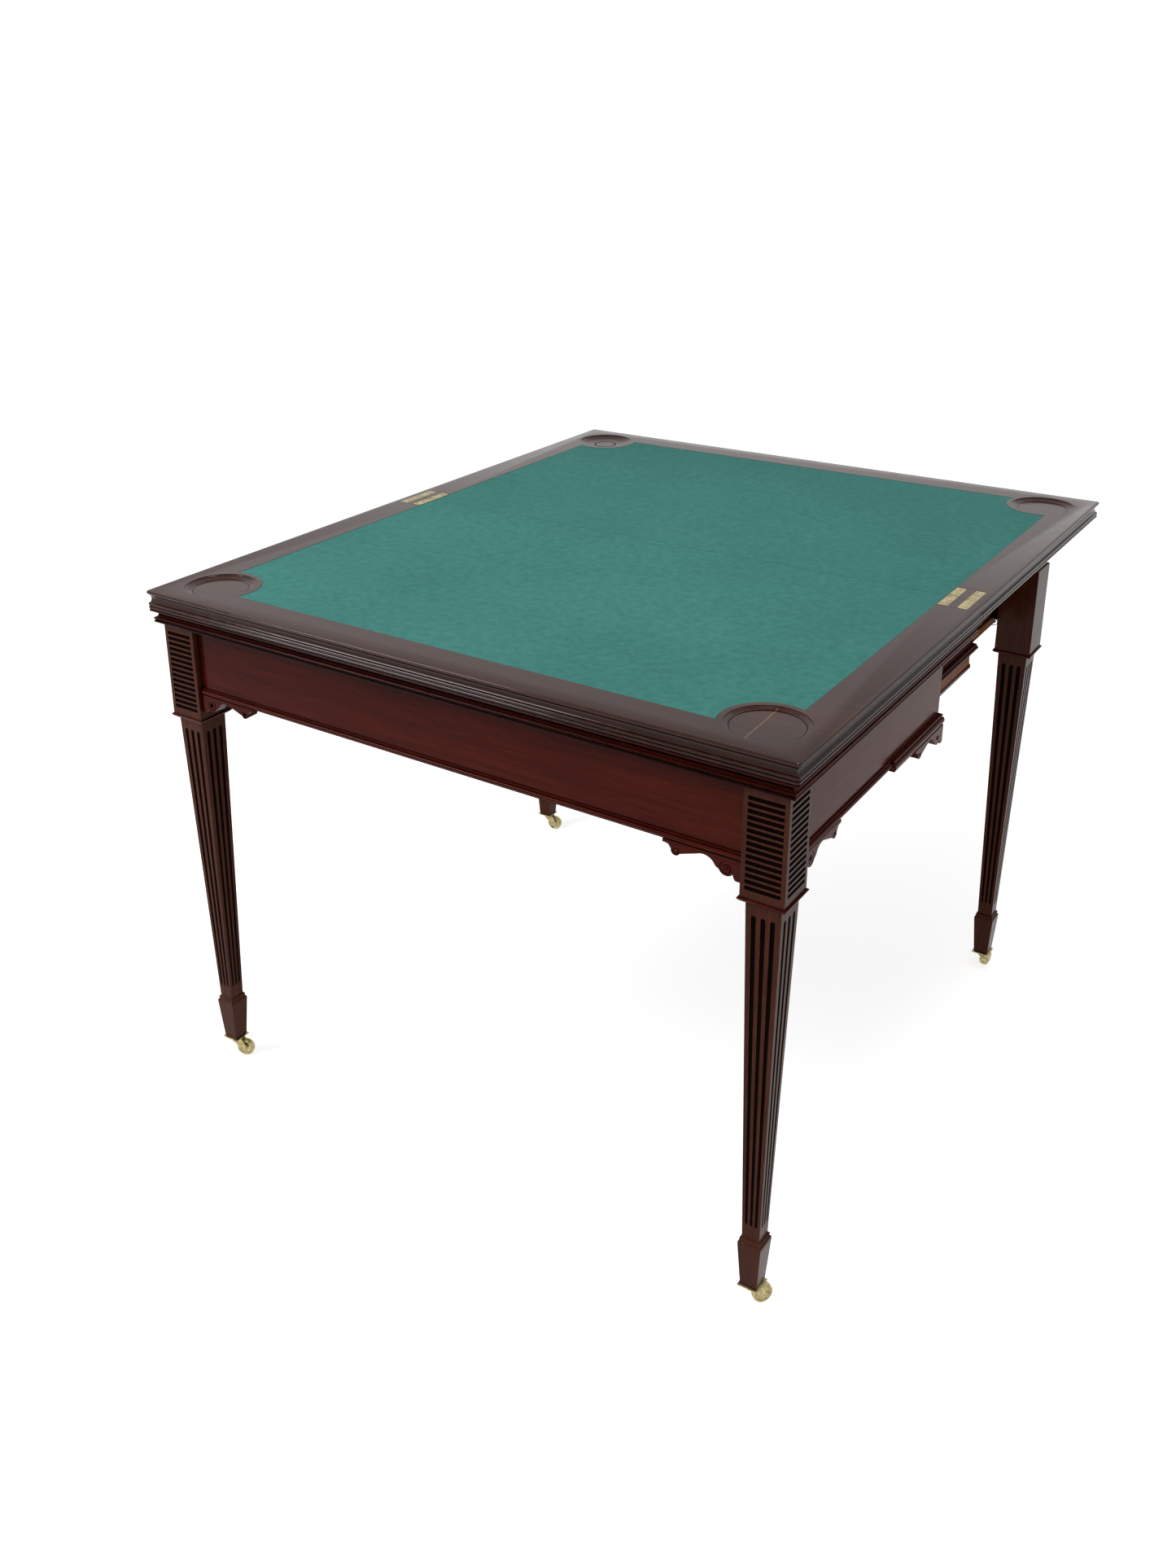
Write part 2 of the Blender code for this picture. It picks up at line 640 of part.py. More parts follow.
def caster(corner, x, y, finishes, parent=None):
    """A brass caster: a plate under the foot, a fork that swivels, and a wheel."""
    plate_finish, fork_finish, wheel_finish = finishes
    bm = bmesh.new()
    half = CASTER_PLATE_SIDE / 2
    add_box(bm, (x - half, y - half, PLATE_BOTTOM), (x + half, y + half, PLATE_TOP))
    plate = piece(f"caster_plate_{corner}", bm, plate_finish, parent)
    bm = bmesh.new()
    add_cylinder(bm, (x, y, PLATE_BOTTOM), PINTLE_RADIUS + GAP, CASTER_PLATE_DEPTH, sides=PIN_SIDES)
    cut(plate, bm)

    swivel = hold(f"swivel_{corner}", (x, y, 0.0), parent)
    if parent:
        swivel.matrix_parent_inverse = Matrix.Translation(parent.location).inverted()
    swivel.rotation_euler.z = math.radians(TRAIL_ANGLES[corner])

    bm, crown, axle = bmesh.new(), bmesh.new(), bmesh.new()
    cheek_in = WHEEL_WIDTH / 2 + GAP
    cheek_out = cheek_in + CHEEK_THICKNESS
    boss = AXLE_RADIUS + 0.0022
    outline = [(-CASTER_CROWN_RADIUS / 2, CROWN_TOP - GAP)]
    outline += [(-CASTER_CROWN_RADIUS / 2, CROWN_BOTTOM)]
    outline += arc((CASTER_TRAIL, WHEEL_RADIUS), boss, 225, 405, 6)
    outline += [(CASTER_CROWN_RADIUS, CROWN_TOP - GAP)]
    for sign in SIDES.values():
        sides = sorted((sign * cheek_in, sign * cheek_out))
        add_prism(bm, outline, "y", *sides)
    centre_z = (CROWN_TOP + CROWN_BOTTOM) / 2
    add_cylinder(crown, (0, 0, centre_z), CASTER_CROWN_RADIUS, CASTER_CROWN_DEPTH)
    pintle = CASTER_PLATE_DEPTH / 2 - GAP
    add_cylinder(axle, (0, 0, PLATE_BOTTOM - GAP), PINTLE_RADIUS, 2 * pintle, sides=PIN_SIDES)
    hub = (CASTER_TRAIL, 0, WHEEL_RADIUS)
    add_cylinder(axle, hub, AXLE_RADIUS, 2 * cheek_out - RUN, "y", PIN_SIDES)
    fork = mesh_object(f"caster_fork_{corner}", bm, swivel)
    fork.data.materials.append(fork_finish)
    cut(fork, crown, "UNION")
    cut(fork, axle, "UNION")

    bm, bore = bmesh.new(), bmesh.new()
    add_cylinder(bm, (0, 0, 0), WHEEL_RADIUS, WHEEL_WIDTH, "y", WHEEL_SIDES)
    add_cylinder(bore, (0, 0, 0), AXLE_RADIUS + GAP, WHEEL_WIDTH + RUN, "y", PIN_SIDES)
    wheel = mesh_object(f"caster_wheel_{corner}", bm, swivel, smooth=True)
    wheel.location = (CASTER_TRAIL, 0.0, WHEEL_RADIUS)
    wheel.data.materials.append(wheel_finish)
    cut(wheel, bore)


# --- slides and rear frame ---------------------------------------------------
def mid_slides(finish, parent):
    """The first pair of slides, each grooved outside for the guide, with a bead and,
    inside, a tongue for the second slide; a tie joins their front ends."""
    face, inner = MID_SLIDE_FACE, MID_SLIDE_INNER
    half = GROOVE_WIDTH / 2
    groove = face - GROOVE_DEPTH
    tongue = inner - GROOVE_DEPTH + GAP
    low, high = GUIDE_GROOVE_HEIGHT - half, GUIDE_GROOVE_HEIGHT + half
    tongue_low = REAR_GROOVE_HEIGHT - half + GAP
    tongue_high = REAR_GROOVE_HEIGHT + half - GAP
    outline = [
        (face, MID_SLIDE_BOTTOM),
        (face, MID_BEAD_BOTTOM),
        (face + MID_BEAD_PROUD, MID_BEAD_BOTTOM),
        (face + MID_BEAD_PROUD, MID_BEAD_TOP),
        (face, MID_BEAD_TOP),
        (face, low),
        (groove, low),
        (groove, high),
        (face, high),
        (face, SLIDE_TOP),
        (inner, SLIDE_TOP),
        (inner, tongue_high),
        (tongue, tongue_high),
        (tongue, tongue_low),
        (inner, tongue_low),
        (inner, MID_SLIDE_BOTTOM),
    ]
    for side, sign in SIDES.items():
        bm = bmesh.new()
        shape = [(sign * x, z) for x, z in outline]
        add_prism(bm, shape, "y", MID_SLIDE_FRONT, MID_SLIDE_REAR)
        piece(f"mid_slide_{side}", bm, finish, parent)
    bm = bmesh.new()
    half_width = inner - GAP
    front = MID_SLIDE_FRONT
    add_box(bm, (-half_width, front, TIE_BOTTOM), (half_width, front + TIE_WIDTH, TIE_TOP))
    piece("mid_slide_tie", bm, finish, parent)


def rear_slides(finish, parent):
    """The second pair of slides, grooved outside, fixed to the rear apron."""
    face, inner = REAR_SLIDE_FACE, REAR_SLIDE_INNER
    half = GROOVE_WIDTH / 2
    groove = MID_SLIDE_INNER - GROOVE_DEPTH
    low, high = REAR_GROOVE_HEIGHT - half, REAR_GROOVE_HEIGHT + half
    outline = [
        (face, REAR_SLIDE_BOTTOM),
        (face, low),
        (groove, low),
        (groove, high),
        (face, high),
        (face, SLIDE_TOP),
        (inner, SLIDE_TOP),
        (inner, REAR_SLIDE_BOTTOM),
    ]
    for side, sign in SIDES.items():
        bm = bmesh.new()
        shape = [(sign * x, z) for x, z in outline]
        add_prism(bm, shape, "y", REAR_SLIDE_FRONT, REAR_APRON_INNER - GAP)
        piece(f"rear_slide_{side}", bm, finish, parent)


def rear_apron(finish, parent):
    """The apron between the rear legs, its bead and its two scroll brackets."""
    half = HEAD_INNER - GAP
    bm = bmesh.new()
    low = (-half, REAR_APRON_INNER, APRON_BOTTOM)
    add_box(bm, low, (half, REAR_APRON_FACE, REAR_APRON_TOP))
    piece("rear_apron", bm, finish, parent)
    bm = bmesh.new()
    low = (-half, REAR_APRON_INNER, BEAD_BOTTOM)
    add_box(bm, low, (half, REAR_APRON_FACE + BEAD_PROUD, BEAD_TOP))
    piece("rear_bead", bm, finish, parent)
    back = REAR_APRON_FACE + BEAD_PROUD - BRACKET_INSET
    for side, sign in SIDES.items():
        outline = [(sign * (half - s), z) for s, z in bracket_outline(BRACKET_TOP)]
        bm = bmesh.new()
        add_prism(bm, outline, "y", back - BRACKET_THICKNESS, back)
        piece(f"rear_bracket_{side}", bm, finish, parent)


# --- assembly ----------------------------------------------------------------
def build():
    """The whole table, open."""
    for old in list(bpy.data.objects):
        bpy.data.objects.remove(old)

    mahogany = material("mahogany", (0.115, 0.032, 0.018), 0.25)
    slide_wood = material("slide_wood", (0.32, 0.13, 0.05), 0.5)
    green = material("baize", (0.11, 0.33, 0.30), 0.95)
    brass = material("brass", (0.76, 0.60, 0.28), 0.3, 1.0)

    link_hold = hold("link_hinge", (0.0, -PIN_SPACING / 2, TABLE_HEIGHT - PIN_DEPTH))
    flap_hold = hold("flap_hinge", (0.0, 0.0, TABLE_HEIGHT + FOLDED_GAP / 2))
    mid_hold = hold("mid_slide_run", (0.0, MID_SLIDE_FRONT, SLIDE_TOP))
    rear_hold = hold("rear_slide_run", (0.0, REAR_SLIDE_FRONT, SLIDE_TOP))

    for body, parent in (("fixed", None), ("flap", flap_hold)):
        turn = leaf_turn(body == "flap")
        facing = -1 if body == "flap" else 1
        leaf(f"{body}_leaf", turn, mahogany, parent)
        baize(f"{body}_baize", turn, green, parent)
        for side, sign in SIDES.items():
            name = f"{body}_hinge_plates_{side}"
            slide = LINK_SLOT if body == "flap" else 0.0
            hinge_plates(name, facing * sign, turn, slide, brass, parent)
    for side, sign in SIDES.items():
        for place, strip in zip(("first", "second"), STRIPS):
            hinge_link(f"hinge_link_{side}_{place}", sign * HINGE_X + strip, brass, link_hold)

    cornice(mahogany)
    aprons(mahogany)
    beads(mahogany)
    front_brackets(mahogany)
    dock_brackets(mahogany)
    cross_rail(slide_wood)
    guides(slide_wood)
    mid_slides(slide_wood, mid_hold)
    rear_slides(slide_wood, rear_hold)
    rear_apron(mahogany, rear_hold)

    finishes = (brass, brass, brass)
    for end, y, top, parent in (
        ("front", FRONT_LEG_Y, FRAME_TOP, None),
        ("rear", REAR_LEG_Y, REAR_BLOCK_TOP, rear_hold),
    ):
        for side, sign in SIDES.items():
            corner = f"{end}_{side}"
            leg(f"leg_{corner}", sign * LEG_X, y, top, mahogany, parent)
            collar(f"collar_{corner}", sign * LEG_X, y, mahogany, parent)
            caster(corner, sign * LEG_X, y, finishes, parent)


build()
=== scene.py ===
"""Fold-over card table, open, with its rear legs drawn out under the flap."""

import math

import bmesh
import bpy
from mathutils import Matrix, Vector


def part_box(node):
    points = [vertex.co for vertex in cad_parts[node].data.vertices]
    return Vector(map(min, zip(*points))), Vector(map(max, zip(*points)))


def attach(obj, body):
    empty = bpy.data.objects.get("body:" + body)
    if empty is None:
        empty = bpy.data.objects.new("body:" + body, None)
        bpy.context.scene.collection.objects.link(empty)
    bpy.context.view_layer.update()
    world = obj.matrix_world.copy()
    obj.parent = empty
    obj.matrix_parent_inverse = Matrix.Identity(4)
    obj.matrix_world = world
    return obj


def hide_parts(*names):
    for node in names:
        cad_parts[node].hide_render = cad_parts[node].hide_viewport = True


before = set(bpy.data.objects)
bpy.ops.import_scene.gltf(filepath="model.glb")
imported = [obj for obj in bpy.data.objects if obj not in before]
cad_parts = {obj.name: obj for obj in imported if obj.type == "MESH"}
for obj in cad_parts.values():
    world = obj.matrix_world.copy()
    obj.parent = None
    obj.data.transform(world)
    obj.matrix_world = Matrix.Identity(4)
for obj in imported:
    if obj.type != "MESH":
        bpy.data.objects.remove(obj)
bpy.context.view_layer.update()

# --- studio -------------------------------------------------------------------
# A pale sweep of floor under a light tent, with one large soft box to the left of
# the camera. The camera stands at the table's front right corner, a little above it.
camera_data = bpy.data.cameras.new("camera")
camera_data.lens = 32.94
camera_data.sensor_width = 36.0
camera_data.shift_x = 0.0198
camera_data.shift_y = -0.0995
camera = bpy.data.objects.new("camera", camera_data)
bpy.context.scene.collection.objects.link(camera)
camera.matrix_world = Matrix(
    (
        (0.82965, -0.19370, 0.52363, 0.9885),
        (0.55826, 0.30107, -0.77313, -1.7384),
        (-0.00789, 0.93373, 0.35791, 1.382),
        (0.0, 0.0, 0.0, 1.0),
    )
)
bpy.context.scene.camera = camera
bpy.context.scene.view_settings.view_transform = "Standard"


def seen_directly(tree):
    """1 for a ray from the camera or off gloss or glass, 0 for one that only lights."""
    path = tree.nodes.new("ShaderNodeLightPath")
    level = path.outputs["Is Camera Ray"]
    for ray in ("Is Glossy Ray", "Is Transmission Ray"):
        either = tree.nodes.new("ShaderNodeMath")
        either.operation = "MAXIMUM"
        tree.links.new(level, either.inputs[0])
        tree.links.new(path.outputs[ray], either.inputs[1])
        level = either.outputs[0]
    return level


tent = bpy.data.worlds.new("light_tent")
bpy.context.scene.world = tent
tent.use_nodes = True
tree = tent.node_tree
backdrop = tree.nodes["Background"]
backdrop.inputs["Color"].default_value = (1.0, 1.0, 1.0, 1.0)
direction = tree.nodes.new("ShaderNodeTexCoord")
parts = tree.nodes.new("ShaderNodeSeparateXYZ")
rise = tree.nodes.new("ShaderNodeMapRange")
rise.inputs["From Min"].default_value = 0.22
rise.inputs["From Max"].default_value = 0.62
rise.inputs["To Min"].default_value = 0.92
rise.inputs["To Max"].default_value = 0.50
shown = tree.nodes.new("ShaderNodeMix")
shown.inputs["B"].default_value = 1.0
tree.links.new(direction.outputs["Generated"], parts.inputs[0])
tree.links.new(parts.outputs["Z"], rise.inputs["Value"])
tree.links.new(seen_directly(tree), shown.inputs["Factor"])
tree.links.new(rise.outputs[0], shown.inputs["A"])
tree.links.new(shown.outputs["Result"], backdrop.inputs["Strength"])

floor_mesh = bmesh.new()
bmesh.ops.create_grid(floor_mesh, x_segments=1, y_segments=1, size=30.0)
floor_data = bpy.data.meshes.new("floor")
floor_mesh.to_mesh(floor_data)
floor = bpy.data.objects.new("floor", floor_data)
bpy.context.scene.collection.objects.link(floor)
paper = bpy.data.materials.new("floor_paper")
paper.use_nodes = True
tree = paper.node_tree
tree.nodes.remove(tree.nodes["Principled BSDF"])
matt = tree.nodes.new("ShaderNodeBsdfDiffuse")
matt.inputs["Color"].default_value = (0.72, 0.72, 0.72, 1.0)
glow = tree.nodes.new("ShaderNodeEmission")
both = tree.nodes.new("ShaderNodeAddShader")
lift = tree.nodes.new("ShaderNodeMath")
lift.operation = "MULTIPLY"
lift.inputs[1].default_value = 0.64
tree.links.new(seen_directly(tree), lift.inputs[0])
tree.links.new(lift.outputs[0], glow.inputs["Strength"])
tree.links.new(matt.outputs[0], both.inputs[0])
tree.links.new(glow.outputs[0], both.inputs[1])
tree.links.new(both.outputs[0], tree.nodes["Material Output"].inputs["Surface"])
floor_data.materials.append(paper)

for name, place, size, power in (
    ("soft_box", (-1.6, -1.8, 2.4), 1.1, 52.0),
    ("top_light", (0.5, -0.5, 3.0), 0.7, 26.0),
):
    box = bpy.data.lights.new(name, "AREA")
    box.shape, box.size, box.energy = "SQUARE", size, power
    lamp = bpy.data.objects.new(name, box)
    bpy.context.scene.collection.objects.link(lamp)
    lamp.location = place
    aim = Vector((0.0, -0.1, 0.6)) - lamp.location
    lamp.rotation_euler = aim.to_track_quat("-Z", "Y").to_euler()

# --- leaves -------------------------------------------------------------------
# Two boards of Cuban mahogany, polished. The edge is worked on three sides: a nose,
# a wide cove and two beads. Each has a counter dish turned in its outer corners, a bed
# for the cloth, and beds for the hinges at the edge where the two meet.
half_width, leaf_depth, playing_height = 0.475, 0.555, 0.750
leaf_thickness = 0.0254
corner_round = 0.0055
slack = 0.0003
border = 0.051
dish_inset, dish_radius = 0.070, 0.0478


def polished_wood(name, dark, mid, light, grain="x", gloss=0.12, wear=0.12, pores=0.05, shine=1.13):
    """Straight-grained wood under a thin worn polish, its grain along one axis.

    Streaks, a slow change of tone from board to board and open pores all run with the
    grain; the polish is thin on the arrises, where the wood shows paler. Hollows get painted shade.
    """
    made = bpy.data.materials.new(name)
    made.use_nodes = True
    nodes, links = made.node_tree.nodes, made.node_tree.links
    surface = nodes["Principled BSDF"]
    surface.inputs["IOR"].default_value = shine
    place = nodes.new("ShaderNodeTexCoord")
    place.name = "place"
    run = nodes.new("ShaderNodeMapping")
    run.name = "grain run"
    run.inputs["Scale"].default_value = [0.055 if axis == grain else 1.0 for axis in "xyz"]
    links.new(place.outputs["Object"], run.inputs["Vector"])

    bend = nodes.new("ShaderNodeTexNoise")
    bend.inputs["Scale"].default_value = 9.0
    bend.inputs["Detail"].default_value = 2.0
    links.new(run.outputs[0], bend.inputs["Vector"])
    streak = nodes.new("ShaderNodeTexNoise")
    streak.inputs["Scale"].default_value = 160.0
    streak.inputs["Detail"].default_value = 6.0
    streak.inputs["Roughness"].default_value = 0.62
    streak.inputs["Distortion"].default_value = 0.6
    links.new(run.outputs[0], streak.inputs["Vector"])
    tone = nodes.new("ShaderNodeMix")
    tone.inputs["Factor"].default_value = 0.5
    links.new(streak.outputs["Fac"], tone.inputs["A"])
    links.new(bend.outputs["Fac"], tone.inputs["B"])
    stain = nodes.new("ShaderNodeValToRGB")
    ramp = stain.color_ramp
    ramp.elements[0].position, ramp.elements[1].position = 0.30, 0.72
    ramp.elements[0].color = (*dark, 1.0)
    ramp.elements[1].color = (*light, 1.0)
    ramp.elements.new(0.50).color = (*mid, 1.0)
    links.new(tone.outputs["Result"], stain.inputs["Fac"])

    pore = nodes.new("ShaderNodeTexNoise")
    pore.inputs["Scale"].default_value = 900.0
    pore.inputs["Detail"].default_value = 2.0
    links.new(run.outputs[0], pore.inputs["Vector"])
    open_pore = nodes.new("ShaderNodeMapRange")
    open_pore.inputs["From Min"].default_value = 0.30
    open_pore.inputs["From Max"].default_value = 0.42
    links.new(pore.outputs["Fac"], open_pore.inputs["Value"])
    darker = nodes.new("ShaderNodeMix")
    darker.data_type = "RGBA"
    darker.blend_type = "MULTIPLY"
    darker.inputs[0].default_value = 0.35
    links.new(stain.outputs["Color"], darker.inputs[6])
    links.new(open_pore.outputs[0], darker.inputs[7])

    rounded = nodes.new("ShaderNodeBevel")
    rounded.samples = 4
    rounded.inputs["Radius"].default_value = 0.0016
    flat = nodes.new("ShaderNodeNewGeometry")
    turn = nodes.new("ShaderNodeVectorMath")
    turn.operation = "DOT_PRODUCT"
    links.new(rounded.outputs[0], turn.inputs[0])
    links.new(flat.outputs["Normal"], turn.inputs[1])
    arris = nodes.new("ShaderNodeMapRange")
    arris.inputs["From Min"].default_value = 0.995
    arris.inputs["From Max"].default_value = 0.90
    links.new(turn.outputs["Value"], arris.inputs["Value"])
    rub = nodes.new("ShaderNodeTexNoise")
    rub.inputs["Scale"].default_value = 55.0
    rub.inputs["Detail"].default_value = 4.0
    links.new(place.outputs["Object"], rub.inputs["Vector"])
    patch = nodes.new("ShaderNodeMapRange")
    patch.inputs["From Min"].default_value = 0.46
    patch.inputs["From Max"].default_value = 0.66
    patch.inputs["To Max"].default_value = wear
    links.new(rub.outputs["Fac"], patch.inputs["Value"])
    worn = nodes.new("ShaderNodeMath")
    worn.operation = "MULTIPLY"
    links.new(arris.outputs[0], worn.inputs[0])
    links.new(patch.outputs[0], worn.inputs[1])
    bare = nodes.new("ShaderNodeMix")
    bare.data_type = "RGBA"
    bare.name = "colour"
    bare.inputs[7].default_value = (light[0] * 1.8, light[1] * 2.4, light[2] * 2.2, 1.0)
    # Ambient occlusion darkens the colour in grooves, hollows and corners: painted shade.
    hollow = nodes.new("ShaderNodeAmbientOcclusion")
    hollow.samples = 4
    hollow.inputs["Distance"].default_value = 0.006
    painted_shade = nodes.new("ShaderNodeMapRange")
    painted_shade.inputs["From Min"].default_value = 0.40
    painted_shade.inputs["From Max"].default_value = 0.88
    painted_shade.inputs["To Min"].default_value = 0.12
    links.new(hollow.outputs["AO"], painted_shade.inputs["Value"])
    shaded_stain = nodes.new("ShaderNodeVectorMath")
    shaded_stain.operation = "SCALE"
    links.new(darker.outputs[2], shaded_stain.inputs[0])
    links.new(painted_shade.outputs[0], shaded_stain.inputs["Scale"])
    links.new(worn.outputs[0], bare.inputs[0])
    links.new(shaded_stain.outputs[0], bare.inputs[6])
    links.new(bare.outputs[2], surface.inputs["Base Color"])

    sheen = nodes.new("ShaderNodeMapRange")
    sheen.inputs["From Min"].default_value = 0.35
    sheen.inputs["From Max"].default_value = 0.70
    sheen.inputs["To Min"].default_value = gloss
    sheen.inputs["To Max"].default_value = gloss + 0.10
    links.new(rub.outputs["Fac"], sheen.inputs["Value"])
    links.new(sheen.outputs[0], surface.inputs["Roughness"])
    relief = nodes.new("ShaderNodeBump")
    relief.inputs["Strength"].default_value = pores
    relief.inputs["Distance"].default_value = 0.0004
    links.new(open_pore.outputs[0], relief.inputs["Height"])
    links.new(relief.outputs[0], surface.inputs["Normal"])
    return made


MAHOGANY = ((0.022, 0.0025, 0.0012), (0.052, 0.0052, 0.0022), (0.088, 0.0115, 0.0040))
TOP_WOOD = ((0.012, 0.0030, 0.0018), (0.026, 0.0062, 0.0036), (0.046, 0.0120, 0.0066))
mahogany_x = polished_wood("mahogany_grain_x", *MAHOGANY, grain="x")
mahogany_y = polished_wood("mahogany_grain_y", *MAHOGANY, grain="y")


def joined_top(name, crack):
    """The leaves' wood: side banding with its grain turned, butt joints in the border,
    and on the fixed leaf the pale line of a closed crack in the right-hand dish."""
    made = polished_wood(name, *TOP_WOOD, grain="x", gloss=0.10, wear=0.15, shine=1.27)
    nodes, links = made.node_tree.nodes, made.node_tree.links
    place, run = nodes["place"], nodes["grain run"]
    split = nodes.new("ShaderNodeSeparateXYZ")
    links.new(place.outputs["Object"], split.inputs[0])

    def reckon(operation, first, second, third=None):
        step = nodes.new("ShaderNodeMath")
        step.operation = operation
        for socket, value in zip(step.inputs, (first, second, third)):
            if value is None:
                continue
            if isinstance(value, float):
                socket.default_value = value
            else:
                links.new(value, socket)
        return step.outputs[0]

    across = reckon("ABSOLUTE", split.outputs["X"], None)
    along = reckon("ABSOLUTE", split.outputs["Y"], None)
    outside = reckon("GREATER_THAN", across, half_width - border)
    before_block = reckon("LESS_THAN", along, 0.385)
    banding = reckon("MULTIPLY", outside, before_block)
    turned = nodes.new("ShaderNodeMapping")
    turned.inputs["Scale"].default_value = (1.0, 0.055, 1.0)
    links.new(place.outputs["Object"], turned.inputs["Vector"])
    chosen = nodes.new("ShaderNodeMix")
    chosen.data_type = "VECTOR"
    links.new(banding, chosen.inputs["Factor"])
    links.new(run.outputs[0], chosen.inputs[4])
    links.new(turned.outputs[0], chosen.inputs[5])
    for link in list(links):
        if link.from_node == run and link.to_node != chosen:
            links.new(chosen.outputs[1], link.to_socket)

    front_joint = reckon("COMPARE", across, 0.305, 0.0003)
    front_joint = reckon("MULTIPLY", front_joint,
        reckon("GREATER_THAN", along, leaf_depth - border))
    side_joint = reckon("COMPARE", along, 0.385, 0.0003)
    side_joint = reckon("MULTIPLY", side_joint, outside)
    joint = reckon("MAXIMUM", front_joint, side_joint)
    surface = nodes["Principled BSDF"]
    lined = nodes.new("ShaderNodeMix")
    lined.data_type = "RGBA"
    lined.inputs[7].default_value = (0.008, 0.002, 0.001, 1.0)
    links.new(reckon("MULTIPLY", joint, 0.75), lined.inputs[0])
    links.new(nodes["colour"].outputs[2], lined.inputs[6])
    last = lined.outputs[2]
    if crack:
        slant = reckon("MULTIPLY_ADD", split.outputs["Y"], -0.0423, 0.3983 - 0.5284 * 0.0423)
        wander = nodes.new("ShaderNodeTexNoise")
        wander.inputs["Scale"].default_value = 40.0
        links.new(place.outputs["Object"], wander.inputs["Vector"])
        slant = reckon("ADD", slant,
            reckon("MULTIPLY", reckon("SUBTRACT", wander.outputs["Fac"], 0.5), 0.003))
        near = reckon("COMPARE", split.outputs["X"], slant, 0.00028)
        reach = nodes.new("ShaderNodeVectorMath")
        reach.operation = "DISTANCE"
        reach.inputs[1].default_value = (half_width - dish_inset, dish_inset - leaf_depth,
            playing_height - 0.004)
        links.new(place.outputs["Object"], reach.inputs[0])
        inside = reckon("LESS_THAN", reach.outputs["Value"], dish_radius - 0.003)
        pale = nodes.new("ShaderNodeMix")
        pale.data_type = "RGBA"
        pale.inputs[7].default_value = (0.30, 0.13, 0.05, 1.0)
        links.new(reckon("MULTIPLY", near, inside), pale.inputs[0])
        links.new(last, pale.inputs[6])
        last = pale.outputs[2]
    links.new(last, surface.inputs["Base Color"])
    return made


def as_object(name, bm, sharp=35.0):
    """The mesh as a smooth-shaded object whose edges past that angle stay crisp."""
    bmesh.ops.recalc_face_normals(bm, faces=bm.faces)
    data = bpy.data.meshes.new(name)
    bm.to_mesh(data)
    bm.free()
    data.shade_smooth()
    data.set_sharp_from_angle(angle=math.radians(sharp))
    made = bpy.data.objects.new(name, data)
    bpy.context.scene.collection.objects.link(made)
    return made


def carve(piece, cutter):
    """Cuts the cutter's shape out of a piece and keeps the result as its mesh."""
    tool = as_object(f"{piece.name}_cutter", cutter)
    cut = piece.modifiers.new("carve", "BOOLEAN")
    cut.operation, cut.solver, cut.object = "DIFFERENCE", "EXACT", tool
    cut.use_self = True
    graph = bpy.context.evaluated_depsgraph_get()
    result = bpy.data.meshes.new_from_object(piece.evaluated_get(graph))
    piece.modifiers.clear()
    spare, piece.data = piece.data, result
    bpy.data.meshes.remove(spare)
    bpy.data.objects.remove(tool)
    piece.data.shade_smooth()
    piece.data.set_sharp_from_angle(angle=math.radians(35.0))


def fit(piece, body, finish, material_slot, *nodes, arris=0.0004):
    """Eases a piece's arrises, gives it its finish and sets it in its place on a body."""
    if arris:
        ease = piece.modifiers.new("arris", "BEVEL")
        ease.width, ease.segments = arris, 2
        ease.limit_method, ease.angle_limit = "ANGLE", math.radians(40.0)
        ease.harden_normals = True
    piece.data.materials.clear()
    for one in finish if isinstance(finish, (list, tuple)) else [finish]:
        piece.data.materials.append(one)
    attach(piece, body)
    if nodes:
        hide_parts(*nodes)
    return piece


def arc(centre, radius, start, end, steps):
    """Points round an arc, in degrees, both ends included."""
    turns = [math.radians(start + (end - start) * i / steps) for i in range(steps + 1)]
    return [(centre[0] + radius * math.cos(a), centre[1] + radius * math.sin(a)) for a in turns]


def round_bead(inset, height, radius, steps=6, start=-78, end=78):
    """A bead worked on an edge, as (inset, height) points from its foot up."""
    return [(inset - (x - 0.0), z) for x, z in arc((0.0, height), radius, start, end, steps)]


def add_worked_slab(bm, edge, half, depth, back, base):
    """A slab with its edge worked on the front and both sides, grown up ring by ring;
    edge is (inset, height) points from the underside up, above base."""
    def plan(inset):
        tight = max(corner_round - inset, 0.0004)
        centre_x, centre_y = half - inset - tight, -(depth - inset - tight)
        right = arc((centre_x, centre_y), tight, -90, 0, 5)
        left = arc((-centre_x, centre_y), tight, 180, 270, 5)
        return [(-(half - inset), back), *left, *right, (half - inset, back)]

    top = bm.faces.new([bm.verts.new((x, y, base + edge[0][1])) for x, y in plan(edge[0][0])])
    keep = True
    for inset, height in edge[1:]:
        grown = bmesh.ops.extrude_face_region(bm, geom=[top], use_keep_orig=keep)
        keep = False
        top = next(g for g in grown["geom"] if isinstance(g, bmesh.types.BMFace))
        for corner, (x, y) in zip(top.verts, plan(inset)):
            corner.co = (x, y, base + height)


def add_prism(bm, outline, axis, low, high):
    """An outline extruded along an axis; its points are the other two coordinates."""
    def point(a, b):
        return {"x": (low, a, b), "y": (a, low, b), "z": (a, b, low)}[axis]

    face = bm.faces.new([bm.verts.new(point(a, b)) for a, b in outline])
    grown = bmesh.ops.extrude_face_region(bm, geom=[face], use_keep_orig=True)
    far = [g for g in grown["geom"] if isinstance(g, bmesh.types.BMVert)]
    along = Vector([high - low if one == axis else 0.0 for one in "xyz"])
    bmesh.ops.translate(bm, verts=far, vec=along)
    return face


def add_block(bm, low, high):
    """A rectangular block from its lowest to its highest corner."""
    size = Vector(high) - Vector(low)
    place = Matrix.Translation((Vector(high) + Vector(low)) / 2) @ Matrix.Diagonal((*size, 1.0))
    return bmesh.ops.create_cube(bm, size=1.0, matrix=place)["verts"]


